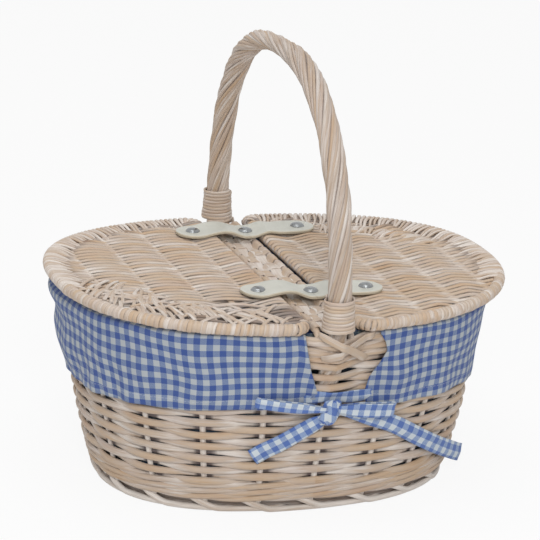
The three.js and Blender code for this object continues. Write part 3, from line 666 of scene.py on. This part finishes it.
def base():
    rods = Rods()
    rings = 22
    middle = 0.007
    for ring in range(rings):
        stake = lap(10)
        share = (ring + 1) / (rings + 0.6)
        x, y = oval(0.1377 * share, 0.1057 * share, angle_of(stake), BODY_POWER)
        z = middle + 0.0011 * cos(pi * (stake + ring)) * min(1, share * 3)
        rods.add(stack(x, y, z), 0.0015, 0.0027, tone=rod_tones(stake, ring), wear=0.4, closed=True)
    # Rings of rods inside the foot, darkened with painted shade, fill the view through the gaps between the
    # border rods
    for level in (0.0046, 0.0086, 0.0126):
        stake = lap(8)
        rods.add(wall(stake, level + wobble(stake / STAKES, 0.0004), -0.0088), 0.002, 0.0023,
                 outward(stake, level), tone=0.6, wear=0.2, closed=True, shade=0.5)
    for stick in range(STAKES):
        share = linspace(0.04, 1, 12)
        x, y = oval(0.1382 * share, 0.1062 * share, angle_of(stick), BODY_POWER)
        rods.add(stack(x, y, middle), 0.0014, 0.0022, tone=rng.random(), wear=0.3)
    rods.make("base_rods", ["base_weave"])


# Handle: thin rods twisted round a core along the arch
def handle_line():
    """Middle line of the handle, its radius and the distance along it."""
    start_z = linspace(STUB_BOTTOM, STUB_TOP, 16)
    on_wall = minimum(start_z, RIM)
    y = half_sizes(on_wall, 0)[1] + bulge_at(0, on_wall) - 0.0105
    rising = stack(y, start_z, STUB_RADIUS)
    share = shares(5)[1:-1]
    change = [HANDLE_HALF, SHOULDER, HANDLE_RADIUS] - rising[-1]
    foot = rising[-1] + change * stack(ease(share), share, share)
    angle = pi * (0.5 - 0.5 * cos(pi * shares(160)))
    angle = 0.35 * angle + 0.65 * linspace(0, pi, 160)
    power = 2 / HANDLE_POWER
    arch_y = HANDLE_HALF * sharpen(cos(angle), power)
    arch_z = SHOULDER + (HANDLE_TOP - SHOULDER) * abs(sin(angle)) ** power
    crown = bell(arch_y, -0.02, 0.048)  # the bow is thinner over its crown
    arch = stack(arch_y, arch_z - 0.0019 * crown, HANDLE_RADIUS - 0.0021 * crown)
    falling = join([rising, foot])[::-1] * [-1, 1, 1]
    y, z, radius = join([rising, foot, arch, falling]).T
    run, line = evenly(stack(0 * y, -y, z), 300, radius)
    return line[:, :3], line[:, 3], run


def handle():
    path, radius, run = handle_line()
    side = (1, 0, 0)
    up = cross(unit(np.gradient(path, axis=0)), side)
    spread = 1 + 0.38 * ease((0.166 - path[:, 2]) / 0.02)  # the stubs are flat and wide
    # Painted shade darkens the front half of the handle, which the key lamp lights more than the back
    shade = 0.12 * ease((0.05 - path[:, 1]) / 0.1)

    def wave(size, low, high):
        return size * sin(run * rng.uniform(low, high) + rng.random() * 6)

    rods = Rods()
    for strand in range(HANDLE_STRANDS):
        size = 0.00146 + rng.normal(0, 0.00018)
        angle = TAU * (strand / HANDLE_STRANDS + run / HANDLE_LAY) + wave(0.13, 12, 30)
        lie = radius - 0.002 + wave(0.0005, 20, 45)
        thin = 1 + wave(0.1, 8, 20)
        out = (spread * cos(angle))[:, None] * side + (sin(angle) / spread)[:, None] * up
        rods.add(path + lie[:, None] * out, size, size * 1.04 * thin * spread, out,
                 tone=rng.random(), wear=0.15 + 0.7 * rng.random(), shade=shade)
    # The core carries painted shade, seen in the gaps between the strands
    core = radius * 0.82 * spread, radius * 0.8 / spread
    rods.add(path, *core, side, tone=0.9, wear=0.0, sides=12, shade=0.6)
    rods.make("handle_rods", ["handle_bow"], HANDLE, "willow_rod")


def whipping(end, flare):
    turns, per_turn = 9.3, 28
    steps = int(turns * per_turn)
    share = arange(steps + 1) / steps
    z = WHIPPING_BOTTOM + WHIPPING_HEIGHT * share
    climb = maximum(0, z - SHOULDER) / (HANDLE_TOP - SHOULDER)
    angle = TAU * turns * share + 0.6
    radius = WHIPPING_RADIUS + 0.0002 * sin(7 * angle) + 0.0002 * sin(1.7 * angle)
    radius += flare * (1 - share) ** 2.5
    out = stack(cos(angle), sin(angle), 0)
    path = stack(0, -HANDLE_HALF * arc(climb, HANDLE_POWER), z) + radius[:, None] * out
    tone = 0.25 + 0.5 * np.repeat(rng.random(12), per_turn)[: steps + 1]
    skein = Rods().add(path * ENDS[end], 0.00075, 0.00145, out * ENDS[end], tone=tone, wear=0.7, power=0.75)
    skein.make(f"whipping_turns_{end}", [f"whipping_{end}"], SKEIN, "skein")


def lashing(end):
    share = shares(40)
    tuck = ease((share - 0.88) / 0.12) + ease((0.1 - share) / 0.1)
    for name, (xs, zs, offset) in LASHINGS.items():
        x, z = curve(share, xs, 6), curve(share, zs, 6)
        path, normal = at_end(end, x, z, offset + 0.0006 * sin(pi * share) - 0.003 * tuck)
        tone = 0.6 + 0.4 * rng.random()
        skein = Rods().add(path, 0.0006, 0.0032 - 0.001 * tuck, normal, tone=tone, sides=14, power=0.55)
        skein.make(f"lashing_skein_{end}_{name}", [f"lashing_{end}_{name}"], SKEIN, "skein")


# Bridge: two rods with flat skeins woven between them
def bridge():
    for name, way in SIDES.items():
        y = linspace(-0.155, 0.155, 60)
        z = BRIDGE_LEVEL + 0.0002 * sin(60 * y) - 0.0075 * ease((abs(y) - 0.146) / 0.009)
        rod = Rods().add(stack(0.0134 * way, y, z), 0.0028, 0.0028, tone=rng.random(), sides=12)
        rod.make(f"bridge_side_{name}", [f"bridge_rod_{name}"], ROD, "willow_rod")
    rods = Rods()
    y = linspace(-0.143, 0.143, 240)
    for column, x in enumerate((-0.0052, 0.0052)):
        z = BRIDGE_LEVEL + 0.0014 * cos(pi * (y / BRIDGE_PITCH + column))
        rods.add(stack(x + 0.0004 * sin(40 * y + column), y, z), 0.0005, 0.0048,
                 tone=0.25, wear=0.2, sides=14, power=0.5)
    x = linspace(-0.0164, 0.0164, 44)
    over_rod = ease((abs(x) - 0.0085) / 0.003)
    tuck = 0.004 * ease((abs(x) - 0.0142) / 0.002)
    for row in range(-7, 8):
        weave = -0.0018 * cos(pi * row) * sharpen(sin(pi * clip(x / 0.0104, -1, 1)), 0.7)
        z = BRIDGE_LEVEL + (weave * (1 - over_rod) + 0.0031 * over_rod - tuck)
        y = row * BRIDGE_PITCH + rng.normal(0, 0.0004) + rng.normal(0, 0.03) * x
        rods.add(stack(x, y, z), 0.0005, 0.0078, across=(0, -1, 0), tone=0.3 + 0.7 * rng.random(),
                 wear=0.4 + 0.5 * rng.random(), sides=14, power=0.5)
    rods.make("bridge_skeins", ["bridge_weave"], SKEIN, "skein")


# Lids: side is -1 on the left lid and 1 on the right one
def lid_lift(x):
    share = maximum(0, abs(x) - HINGE) / (LID_HALF_LENGTH - HINGE)
    return LID_CURL * share * share


def on_lid(side, x, y, rise=0.0):
    return stack(side * x, y, LID_LEVEL + lid_lift(x) + rise)


def lid_outline():
    """Centre line of the hoop, from its front inner corner."""
    start = np.arccos((LID_CORNER_X / HOOP_LENGTH) ** (LID_POWER / 2))
    x, y = oval(HOOP_LENGTH, HOOP_WIDTH, linspace(-start, start, 140), LID_POWER)
    turn = linspace(pi, 1.5 * pi, 12)[:-1]
    corner = stack(LID_CORNER_X + LID_CORNER * cos(turn), y[0] + LID_CORNER + LID_CORNER * sin(turn))
    run, line = evenly(join([corner, stack(x, y), corner[::-1] * [1, -1]]), 300)
    return (*line.T, run)


HOOP_LENGTH = LID_HALF_LENGTH - HOOP
HOOP_WIDTH = LID_HALF_WIDTH - HOOP
HOOP_X, HOOP_Y, HOOP_TRAVEL = lid_outline()


def hoop_frame(place):
    """A point of the hoop, and the ways out of it and along it."""
    here, ahead = (array([interp(spot, HOOP_TRAVEL, row) for row in (HOOP_X, HOOP_Y)])
                   for spot in (place, place + 0.002))
    ahead -= here
    out = array([ahead[1], -ahead[0]]) / max(np.hypot(*ahead), 1e-6)
    return here, out, array([-out[1], out[0]])


def wound(rods, path):
    """One skein wound round the hoop, with a new tone every turn."""
    pitch, per_turn = 0.0037, 12
    even, line = evenly(path, int(travel(path)[-1] / pitch * per_turn))
    along = unit(np.gradient(line, axis=0))
    side = unit(cross(along, UP))
    up = cross(side, along)
    count = np.floor(even / pitch).astype(int)
    turns = count.max() + 2
    lean = rng.normal(0, 0.12, turns)[count]
    angle = TAU * even / pitch
    out = cos(angle)[:, None] * side + sin(angle)[:, None] * up
    radius = 0.0042 * (1 + 0.05 * rng.normal(0, 1, turns)[count])
    place = line + radius[:, None] * out + (lean * pitch * 0.5 * cos(angle))[:, None] * along
    rods.add(place, 0.0007, 0.0021, out, tone=rng.random(turns)[count], wear=0.75, power=0.7)


def lid_ends(rods, side, place, inner=False):
    """Weaver ends bent outwards over the hoop."""
    while place < HOOP_TRAVEL[-1]:
        pitch = rng.uniform(0.0038, 0.005)
        at, out, along = hoop_frame(place)
        left = (HOOP_TRAVEL[-1] - place) / 0.05
        reach = rng.uniform(0.022, 0.031) * min(1, 0.45 + 0.55 * left)
        share = shares(11)
        if inner:
            beyond = -0.02 - reach * (1 - share)
            rise = -0.0008 + 0.0032 * sin(pi * share) ** 0.7
        else:
            bend = linspace(0.5 * pi, -0.45 * pi, 8)[1:]
            beyond = join([-reach * (1 - share), 0.0035 * cos(bend)])
            rise = join([-0.0016 + 0.0051 * ease(share * 1.15), 0.0035 * sin(bend)])
        lean = rng.normal(0, 0.1) * beyond + 0.0006 * sin(beyond * 300 + place * 90)
        x, y = (at + beyond[:, None] * out + lean[:, None] * along).T
        half = pitch * rng.uniform(0.37, 0.45) * (0.52 + 0.48 * ease(linspace(0, 1.5, len(x))))
        rods.add(on_lid(side, x, y, rise), 0.0012, half, across=(along[0], side * along[1], 0.0),
                 tone=0.3 + 0.7 * rng.random(), wear=0.75 + 0.25 * ease((rise + 0.0016) / 0.004), sides=10)
        place += pitch


def lid_struts(rods, side):
    """Short rods slantwise over the open weave beside the front of the hoop."""
    for strut, place in enumerate(arange(0.016, 0.222, 0.0021)):
        at, out, along = hoop_frame(place)
        start = 0.003 + 0.036 * rng.random() ** 1.3
        run = rng.uniform(0.014, 0.024) * (1 - shares(12))
        lean = (0.9 if strut % 4 else -0.8) * rng.uniform(0.6, 1.1) * run
        spot = at - (start + run)[:, None] * out + lean[:, None] * along
        x, y = spot[abs(spot[:, 0]) > LID_EDGE + 0.003].T
        if len(x) < 6:
            continue
        rise = 0.0004 + 0.003 * sin(pi * linspace(0.08, 0.92, len(x))) ** 0.6
        rods.add(on_lid(side, x, y, rise), 0.001, rng.uniform(0.0014, 0.002), tone=0.7 * rng.random())


def lid_weaver(row, y, side):
    """One weaver, from its bend round the edge rod to its end."""
    end = HOOP_LENGTH * arc(y / HOOP_WIDTH, LID_POWER) - 0.004
    bend = linspace(-1.2, 0, 6)[:-1] * pi / 2
    turn_x = LID_EDGE + 0.0034 * sin(bend)
    turn_z = 0.0034 * cos(bend) * (-1 if row % 2 else 1)
    run_x = linspace(LID_EDGE, end, max(8, int((end - LID_EDGE) / 0.003)))
    beat = cos(pi * ((run_x - LID_EDGE) / RIB_PITCH + row))
    near_edge = bell(run_x, LID_EDGE, 0.0075)
    arch = 0.0022 * sharpen(beat, 0.85) if side < 0 else 0.0029 * 2 / pi * np.arcsin(beat)
    run_z = arch * (1 - near_edge) + 0.0034 * np.sign(beat[0]) * near_edge
    run_z -= 0.0014 * ease((run_x - end + 0.022) / 0.018)
    front = 0.5 + 0.5 * join([np.full(5, beat[0]), beat])
    return join([turn_x, run_x]), join([turn_z, run_z]), front


def lid_weave(rods, side):
    """Ribs, and weavers that slip apart in one zone of each lid."""
    for rib_x in LID_EDGE + RIB_PITCH * arange(1, RIBS + 1):
        reach = HOOP_WIDTH * arc(rib_x / HOOP_LENGTH, LID_POWER) - 0.002
        rods.add(on_lid(side, rib_x, linspace(-reach, reach, 60)), 0.001, 0.0026, tone=rng.random(), wear=0.3)
    open_place, open_reach = (-0.145, 0.07) if side < 0 else (0.128, 0.035)
    for row in range(LID_WEAVERS):
        y = LID_REACH * (2 * row / (LID_WEAVERS - 1) - 1)
        x, z, front = lid_weaver(row, y, side)
        turns = (x - LID_EDGE) / 0.17
        loose = bell(y, open_place, open_reach)
        if side < 0 and loose > 0.4 and row % 4 == 1:
            continue
        line = y + wobble(turns, 0.0003 + 0.0009 * loose, 1, 7)
        line += (0.0007 + 0.004 * loose) * sin(pi * ((x - LID_EDGE) / RIB_PITCH + row))
        width = 0.002 + 0.0008 * abs(2 * front - 1) + wobble(turns, 0.0002, 2, 11)
        width *= (1 - 0.36 * loose) * rng.uniform(0.9, 1.06)
        # Painted shade: beneath the struts of the open zone, under the weaver ends bent over the hoop, and
        # where a weaver dives under a rib
        under = 0.6 * ease((loose - 0.58) / 0.25) if side < 0 else 0.0
        outer = (x / HOOP_LENGTH) ** LID_POWER + (abs(y) / HOOP_WIDTH) ** LID_POWER
        shade_under_ends = 0.5 * ease((y + 0.06) / 0.03) * ease((outer ** (1 / LID_POWER) - 0.885) / 0.04)
        shade_at_dives = 0.5 * ease((0.16 - front) / 0.12)
        rods.add(on_lid(side, x, line, z), 0.0012, width, across=(0, -side, 0), tone=rng.random(),
                 wear=0.1 + 0.9 * front, shade=maximum(maximum(under, shade_under_ends), shade_at_dives))


def lid(name, side):
    body = f"lid_{name}"

    def first_past(y):
        return int(np.argmax((HOOP_X > 0.12) & (HOOP_Y > y)))

    hoop = on_lid(side, HOOP_X, HOOP_Y)
    bound = first_past(-0.035 if side < 0 else -0.07)
    rods = Rods().add(hoop, 0.0027, 0.0027, wear=0.3, sides=10)
    wound(rods, hoop[:bound + 4])
    lid_ends(rods, side, HOOP_TRAVEL[bound])
    if side > 0:
        lid_ends(rods, side, HOOP_TRAVEL[first_past(0.045)], inner=True)
    rods.make(f"{body}_hoop_wound", [f"{body}_hoop"], LID, "skein", body)
    line = stack(side * LID_EDGE, linspace(-0.136, 0.136, 60), LID_LEVEL)
    rod = Rods().add(line, 0.0023, 0.0023, wear=0.3, sides=10)
    rod.make(f"{body}_edge_core", [f"{body}_edge_rod"], ROD, "willow_rod", body)
    rods = Rods()
    lid_weave(rods, side)
    if side < 0:
        lid_struts(rods, side)
    rods.make(f"{body}_weavers", [f"{body}_weave"], LID, body=body)


# Straps: each in two halves that meet under the middle rivet
def strap_height(x):
    """Level of the underside of a strap."""
    climb = ease((abs(x - STRAP_SHIFT) - 0.003) / 0.015)
    fall = ease((abs(x) - LID_EDGE - 0.002) / 0.012)
    on_edge = 0.1692 + (0.1724 - 0.1692) * climb + 0.0018 * bell(x, -0.016, 0.01)
    return on_edge + (0.1711 + lid_lift(x) - on_edge) * fall


def strap_half(row, name):
    middle, skew, reaches = STRAPS[row]
    rivet_reach, reach = reaches[name]
    way = SIDES[name]
    x = STRAP_SHIFT + way * reach * sin(shares(90) * pi / 2)
    beyond = clip((abs(x - STRAP_SHIFT) - reach + STRAP_END) / STRAP_END, 0, 1)
    half = STRAP_WIDTH / 2 * np.sqrt(maximum(1 - beyond ** 2, 0.0006))
    under = strap_height(x)[:, None]
    place = (middle + skew * (x - STRAP_SHIFT))[:, None]
    columns = 15
    spread = linspace(-1, 1, columns)

    def level(lift, inset):
        """Points across the strap, pressed in round the rivets."""
        y = place + np.outer(half - inset, spread)
        z = under + lift + 0.00025 * sin(170 * x)[:, None] * sin(spread * 2.1)
        if lift > STRAP_THICK / 2:
            for rivet_x in (STRAP_SHIFT, STRAP_SHIFT + way * rivet_reach):
                z -= 0.0005 * bell(np.hypot(x[:, None] - rivet_x, y - place), 0, 0.0085)
        return stack(x[:, None], y, z)

    high, low = level(STRAP_THICK - BEVEL, 0.0), level(BEVEL, 0.0)
    grid = join([level(STRAP_THICK, BEVEL), high[:, -1:], low[:, -1:],
                 level(0.0, BEVEL)[:, ::-1], low[:, :1], high[:, :1]], 1)
    uv = stack(x[:, None], clip(grid[..., 2] - under, 0, STRAP_THICK))
    made = surface(f"strap_{row}_{name}_half", grid, uv, None, [LEATHER, LEATHER_EDGE], (), "leather",
                   mirrored=way > 0)
    on_edge = np.zeros(grid.shape[1], int)
    on_edge[[columns - 1, columns, columns + 1, -3, -2, -1]] = 1
    marks = np.append(np.tile(on_edge, len(x) - 1), [1, 1])
    made.data.polygons.foreach_set("material_index", marks.astype(np.int32))
    return made


def rivet(node, body, x, y):
    angle = pi / 2 * shares(10)[:-1]
    dome = stack(0.0056 * cos(angle), 0.0007 + 0.0024 * sin(angle))
    radius, height = join([RIVET_BRIM, dome, [(0.0004, 0.0031)]]).T[..., None]
    turn = TAU * arange(36) / 36
    slope = (strap_height(x + 0.002) - strap_height(x - 0.002)) / 0.004
    level = strap_height(x) + STRAP_THICK - 0.0003
    across = radius * cos(turn)
    grid = stack(across, radius * sin(turn), height + across * slope) + [x, y, level]
    surface(f"{node}_cap", grid, np.zeros_like(grid[..., :2]), body, [NICKEL], [node], "nickel")


def straps():
    for row, (middle, skew, reaches) in STRAPS.items():
        for name, way in SIDES.items():
            half = strap_half(row, name)
            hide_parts(f"strap_{row}_middle", f"strap_{row}_{name}_flap")
            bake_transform(half)
            reach = way * reaches[name][0]
            rivet(f"rivet_{row}_{name}", f"lid_{name}", STRAP_SHIFT + reach, middle + skew * reach)
        rivet(f"rivet_{row}_middle", "basket", STRAP_SHIFT, middle)


# Cloth
def cloth(name, grid, uv, node, materials, thick=0.0008, ring=False, values=None):
    made = surface(name, grid, uv, "basket", materials, [node], "gingham",
                   ring=ring, capped=False, values=values)
    thicken = made.modifiers.new("thickness", "SOLIDIFY")
    thicken.thickness = thick
    thicken.offset = 0.0
    return made


def cuff(name, side):
    """Half the cuff: up inside the border, over it and down outside."""
    columns, rows = 240, 44
    depth = shares(rows)[:, None]
    run = shares(columns)[None]
    over = 0.16  # share of the depth that lies over the border
    roll = clip(depth / over, 0, 1)
    fall = clip((depth - over) / (1 - over), 0, 1)
    # The back edge is the other cuff's front edge turned half round
    edges = {key: interp(fall, *CUFF_EDGES[key]) for key in (-1, 1)}
    front_stake = interp(edges[side], FRONT_X, FRONT_STAKES)
    back_stake = interp(edges[-side], FRONT_X, FRONT_STAKES) + side * STAKES / 2
    stake = front_stake + (back_stake - front_stake) * run
    bottom = wall(stake[-1:], 0.095, 0)
    low = interp(np.where(bottom[..., 1] < 0, bottom[..., 0], -bottom[..., 0]), *HEM)
    angle = pi * roll
    z_in = np.where(roll < 0.5, 0.1545 + 0.0071 * sin(angle) ** 0.6, CUFF_FOLD + 0.0026 * sin(angle) ** 0.6)
    z = np.where(depth < over, z_in, CUFF_FOLD + (low - CUFF_FOLD) * fall)
    seed = 3.1 if side < 0 else 5.7
    turns = stake / STAKES
    sway = 0.3 * sin(TAU * turns * 3 + seed) + 0.35 * fall
    folds = 0.5 + 0.5 * sin(TAU * (turns * 17 + sway) + seed)
    fine = sin(TAU * (turns * 38 + 0.6 * sin(TAU * turns * 5) - 0.7 * fall) + seed)
    across_fold = sin(TAU * (1.9 * fall + 3.5 * turns + 0.2 * sin(TAU * turns * 9)))
    slack = fall ** 0.8 * (0.0006 + 0.0026 * folds ** 1.4) + 0.0007 * fine * fall
    slack += 0.0008 * across_fold * fall
    end = bell(abs(bottom[..., 0]), 0.168, 0.03) * bell(bottom[..., 1], -0.045 * side, 0.07)
    if side < 0:
        # The left cuff puffs out at its end, high up and again lower down
        high = 0.0056 * bell(fall, 0.1, 0.14) * ease(fall / 0.05)
        slack += end * (high + 0.0042 * bell(fall, 0.62, 0.26))
    else:
        slack = slack * (1 - 0.85 * end) - 0.0006 * end
    corner = exp(-abs(stake - (front_stake if side > 0 else back_stake)) / 0.18)
    slack += 0.0026 * corner * sin(pi * clip(fall * 1.9, 0, 1))
    offset = np.where(depth < over, -0.0039 - 0.0043 * cos(angle), 0.0008 + maximum(slack, 0.0))
    grid = wall(stake, z, offset)
    down = gaps(grid)
    v = join([np.zeros((1, columns)), np.cumsum(down, axis=0)])
    u = stake * RIM_LENGTH / STAKES
    drift = 0.0018 * sin(24 * u + 30 * v + seed) + 0.001 * sin(78 * u - 60 * v)
    lean = 0.0014 * sin(50 * v + 17 * u + seed) + 0.0006 * sin(120 * v - 40 * u)
    made = cloth(f"cuff_{name}", grid, stack(u + lean, drift - v), f"liner_cuff_{name}", [GINGHAM],
                 values={"edge": (v[-1:] - v).ravel()})
    round_way = gaps(grid, 1).sum(1)


def bag():
    """The liner, with painted shade on its inner face."""
    columns = 240
    stake = arange(columns) / columns * STAKES
    z = join([linspace(0.16, 0.02, 26), [0.016, 0.013, 0.0118]])[:, None]
    round_in = 0.0035 * ease((0.02 - z) / 0.008)
    fold = 0.0007 * sin(TAU * stake * 1.15 + 1.5 * sin(stake)) * ease((z - 0.012) / 0.03)
    fold *= ease((0.158 - z) / 0.02)
    side = wall(stake, z, -0.0092 - round_in - abs(fold), bulged=0.0)
    # Inside the stubs of the handle
    beside = maximum(0, 1 - abs(side[..., 0]) / BULGE_REACH)
    rise = ease((z - STUB_BOTTOM + 3 * ROW_PITCH) / (2 * ROW_PITCH))
    inward = maximum(0, 0.0164 * beside * rise - bulge_at(side[..., 0], z))
    side[..., 1] -= np.sign(side[..., 1]) * inward
    share = linspace(1, 0.02, 14)[1:, None]
    x, y = side[-1, :, 0] * share, side[-1, :, 1] * share
    grid = join([side, stack(x, y, 0.0117 + 0.0002 * sin(40 * x) * cos(37 * y))])
    wrapped = join([grid, grid[:, :1]], 1)
    uv = wrapped[..., :2].copy()
    uv[:len(z)] = stack(np.append(stake, STAKES) * RIM_LENGTH / STAKES, z)
    made = cloth("bag_cloth", grid, uv, "liner_bag", [GINGHAM, SHADED_GINGHAM], ring=True)
    # The solidified shell takes the darker copy of the check: painted shade
    made.modifiers["thickness"].material_offset = 1
    round_way = gaps(wrapped, 1).sum(1)
    down = gaps(grid).mean(1)


def cloth_strip(name, node, path, normal, half, thick=0.0007, crease=0.0006, stretch=1.0):
    """A flat tie that curls a little across its width."""
    along = unit(np.gradient(path, axis=0))
    normal = square_to(along, normal)
    across = cross(along, normal)
    spread = linspace(-1, 1, 11)
    length = travel(path)[:, None]
    curl = crease * spread ** 2 * (0.6 + 0.4 * sin(90 * length + 1))
    curl += 0.0003 * sin(4 * spread + 60 * length)
    grid = path[:, None] + (half[:, None] * spread)[..., None] * across[:, None]
    grid -= (curl * (half / half.max())[:, None])[..., None] * normal[:, None]
    uv = stack(stretch * length + 0.003, half[:, None] * spread + 0.0052 + 0.0004 * sin(70 * length))
    edge = SEAM + half[:, None] * (spread - 0.15)
    made = cloth(name, grid, uv, node, [LIT_TIE_GINGHAM], thick, values={"edge": edge.ravel()})
    step = gaps(grid).mean(1)


def bow_loop(start, tip, width, flip):
    """Out from the knot, over at the tip and back underneath."""
    start, tip = array(start), array(tip)
    base, lift = 0.0066, 0.006
    steps = shares(20)
    out, back = steps[:-1], steps[1:]
    turn = linspace(0, pi, 15)
    share = join([out, 1 + 0.05 * sin(turn), 1 - back])
    offset = base + join([lift * (0.6 + 0.4 * sin(pi * out * 0.8)),
                          lift * (0.45 + 0.42 * cos(turn)),
                          lift * 0.1 * sin(pi * back)])
    x, z = (start + (tip - start) * share[:, None]).T
    direction = unit(front_wall(*tip, 0.005) - front_wall(*start, 0.005)) * flip
    across = cross(direction, front_normal(*((start + tip) / 2)) * flip)
    return front_wall(x, z, offset) * flip, across, width * (0.5 + 0.5 * ease(share / 0.45))


def tie(end):
    even = shares(40)
    x = -0.0203 + 0.058 * even
    z = 0.1076 - 0.0014 * even + 0.0007 * sin(7 * even)
    cloth_strip(f"tie_{end}_strip", f"tie_{end}_band", *at_end(end, x, z, 0.0016 + 0.0005 * sin(9 * even)),
                0.0052 + 0.0006 * sin(11 * even))
    even = shares(60)
    for key, (xs, zs, offsets) in TAILS.items():
        if end == "back":
            xs, zs, offsets = xs[:6], zs[:6], minimum(offsets[:6], 0.0034)
        x, z, offset = (curve(even, values, 8) for values in (xs, zs, offsets))
        route = at_end(end, x, z, offset + 0.0005 * sin(14 * even) * even)
        cloth_strip(f"tie_{end}_{key}_strip", f"tie_{end}_{key}", *route, 0.0044 + 0.0031 * ease(even / 0.22),
                    crease=0.0016, stretch=0.74 if key == "right_tail" else 1.0)
    for key, (start, tip, width) in LOOPS.items():
        path, across, half = bow_loop(start, tip, width, ENDS[end])
        normal = cross(across, unit(np.gradient(path, axis=0)))
        cloth_strip(f"tie_{end}_{key}_strip", f"tie_{end}_{key}", path, normal, half, thick=0.0006)
    knot(end)


def knot(end):
    """A puckered lump with the check running over it."""
    up = linspace(0.06, pi - 0.06, 31)[:, None]
    around = linspace(0, TAU, 61)[:-1]
    wrinkle = 1 + 0.07 * sin(3 * up + 2 * sin(around)) + 0.06 * sin(5 * around + 4 * up)
    wrinkle += 0.04 * sin(9 * around - 5 * up)
    wide = sharpen(sin(up), 0.75) * cos(around) * wrinkle
    tall = sharpen(cos(up), 0.85) * wrinkle
    x = 0.0014 + 0.008 * wide + 0.0022 * tall
    z = 0.095 + 0.0108 * tall - 0.0012 * wide
    offset = 0.0068 + 0.0042 * sharpen(sin(up), 0.75) * sin(around) * wrinkle
    share = shares(61)
    down = up / pi
    surface(f"tie_{end}_knot_cloth", front_wall(x, z, offset) * ENDS[end],
            stack(0.04 * share + 0.01 * down, 0.026 * down + 0.006 * share),
            "basket", [LIT_TIE_GINGHAM], [f"tie_{end}_knot"], "gingham")


# Camera, light and floor
def camera():
    data = bpy.data.cameras.new("camera")
    data.lens = 210.367
    data.sensor_width = 36
    made = link("camera", data)
    right = (0.9485941, -0.3137513, 0.0415846)
    up = (0.0541062, 0.2902174, 0.95543)
    back = (-0.311836, -0.9040653, 0.2922744)
    place = (-0.8162531, -2.3560765, 0.9305079)
    made.matrix_world = Matrix([*zip(right, up, back, place), (0, 0, 0, 1)])
    bpy.context.scene.camera = made


def lamp(name, place, size, energy):
    data = bpy.data.lights.new(name, "AREA")
    data.shape = "DISK"
    data.size = size
    data.energy = energy
    made = link(name, data)
    made.location = place
    made.rotation_euler = (Vector((0, 0, 0.15)) - Vector(place)).to_track_quat("-Z", "Y").to_euler()


def stage():
    world = bpy.data.worlds.new("studio")
    bpy.context.scene.world = world
    nodes = Nodes(world, "OutputWorld")
    nodes.show_white(nodes.value("Background", {"Color": WHITE, "Strength": 0.49}), "Background", 1.0)
    mesh = bpy.data.meshes.new("floor")
    mesh.from_pydata([(-8, -8, 0), (8, -8, 0), (8, 8, 0), (-8, 8, 0)], [], [(0, 1, 2, 3)])
    floor = link("floor", mesh)
    look = look_nodes("floor_white")
    mesh.materials.append(look.finish((0.86, 0.86, 0.86, 1), 0.9, Specular_IOR_Level=0.0))
    look.show_white(look.lit, "Emission", 0.9)
    floor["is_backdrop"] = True
    lamp("key", (-0.6, -2.15, 1.35), 0.55, 19)
    lamp("top", (-0.3, -0.3, 2.2), 1.6, 13)


camera()
stage()
side_weave()
stakes()
wale("upsett_rods", "upsett_wale", 0.012, 3)
wale("top_wale_rods", "top_wale", 0.1404, 2)
border("foot_rods", "foot_border", 0.0125, 0.0031, 2.1, 0.0056, 0.3, LIT_FOOT)
border("rim_rods", "rim_border", 0.154, 0.158, 2.6, 0.0035, 0.85, ROD)
base()
handle()
whipping("front", 0.0014)
whipping("back", 0.0018)
for end in ENDS:
    lashing(end)
bridge()
for name, side in SIDES.items():
    lid(name, side)
straps()
bag()
for name, side in SIDES.items():
    cuff(name, side)
for end in ENDS:
    tie(end)

bpy.context.scene.view_settings.view_transform = "Standard"
boxes = {"cad": cad_box, "visual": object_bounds()}
{name: [list(corner) for corner in box] for name, box in boxes.items()}
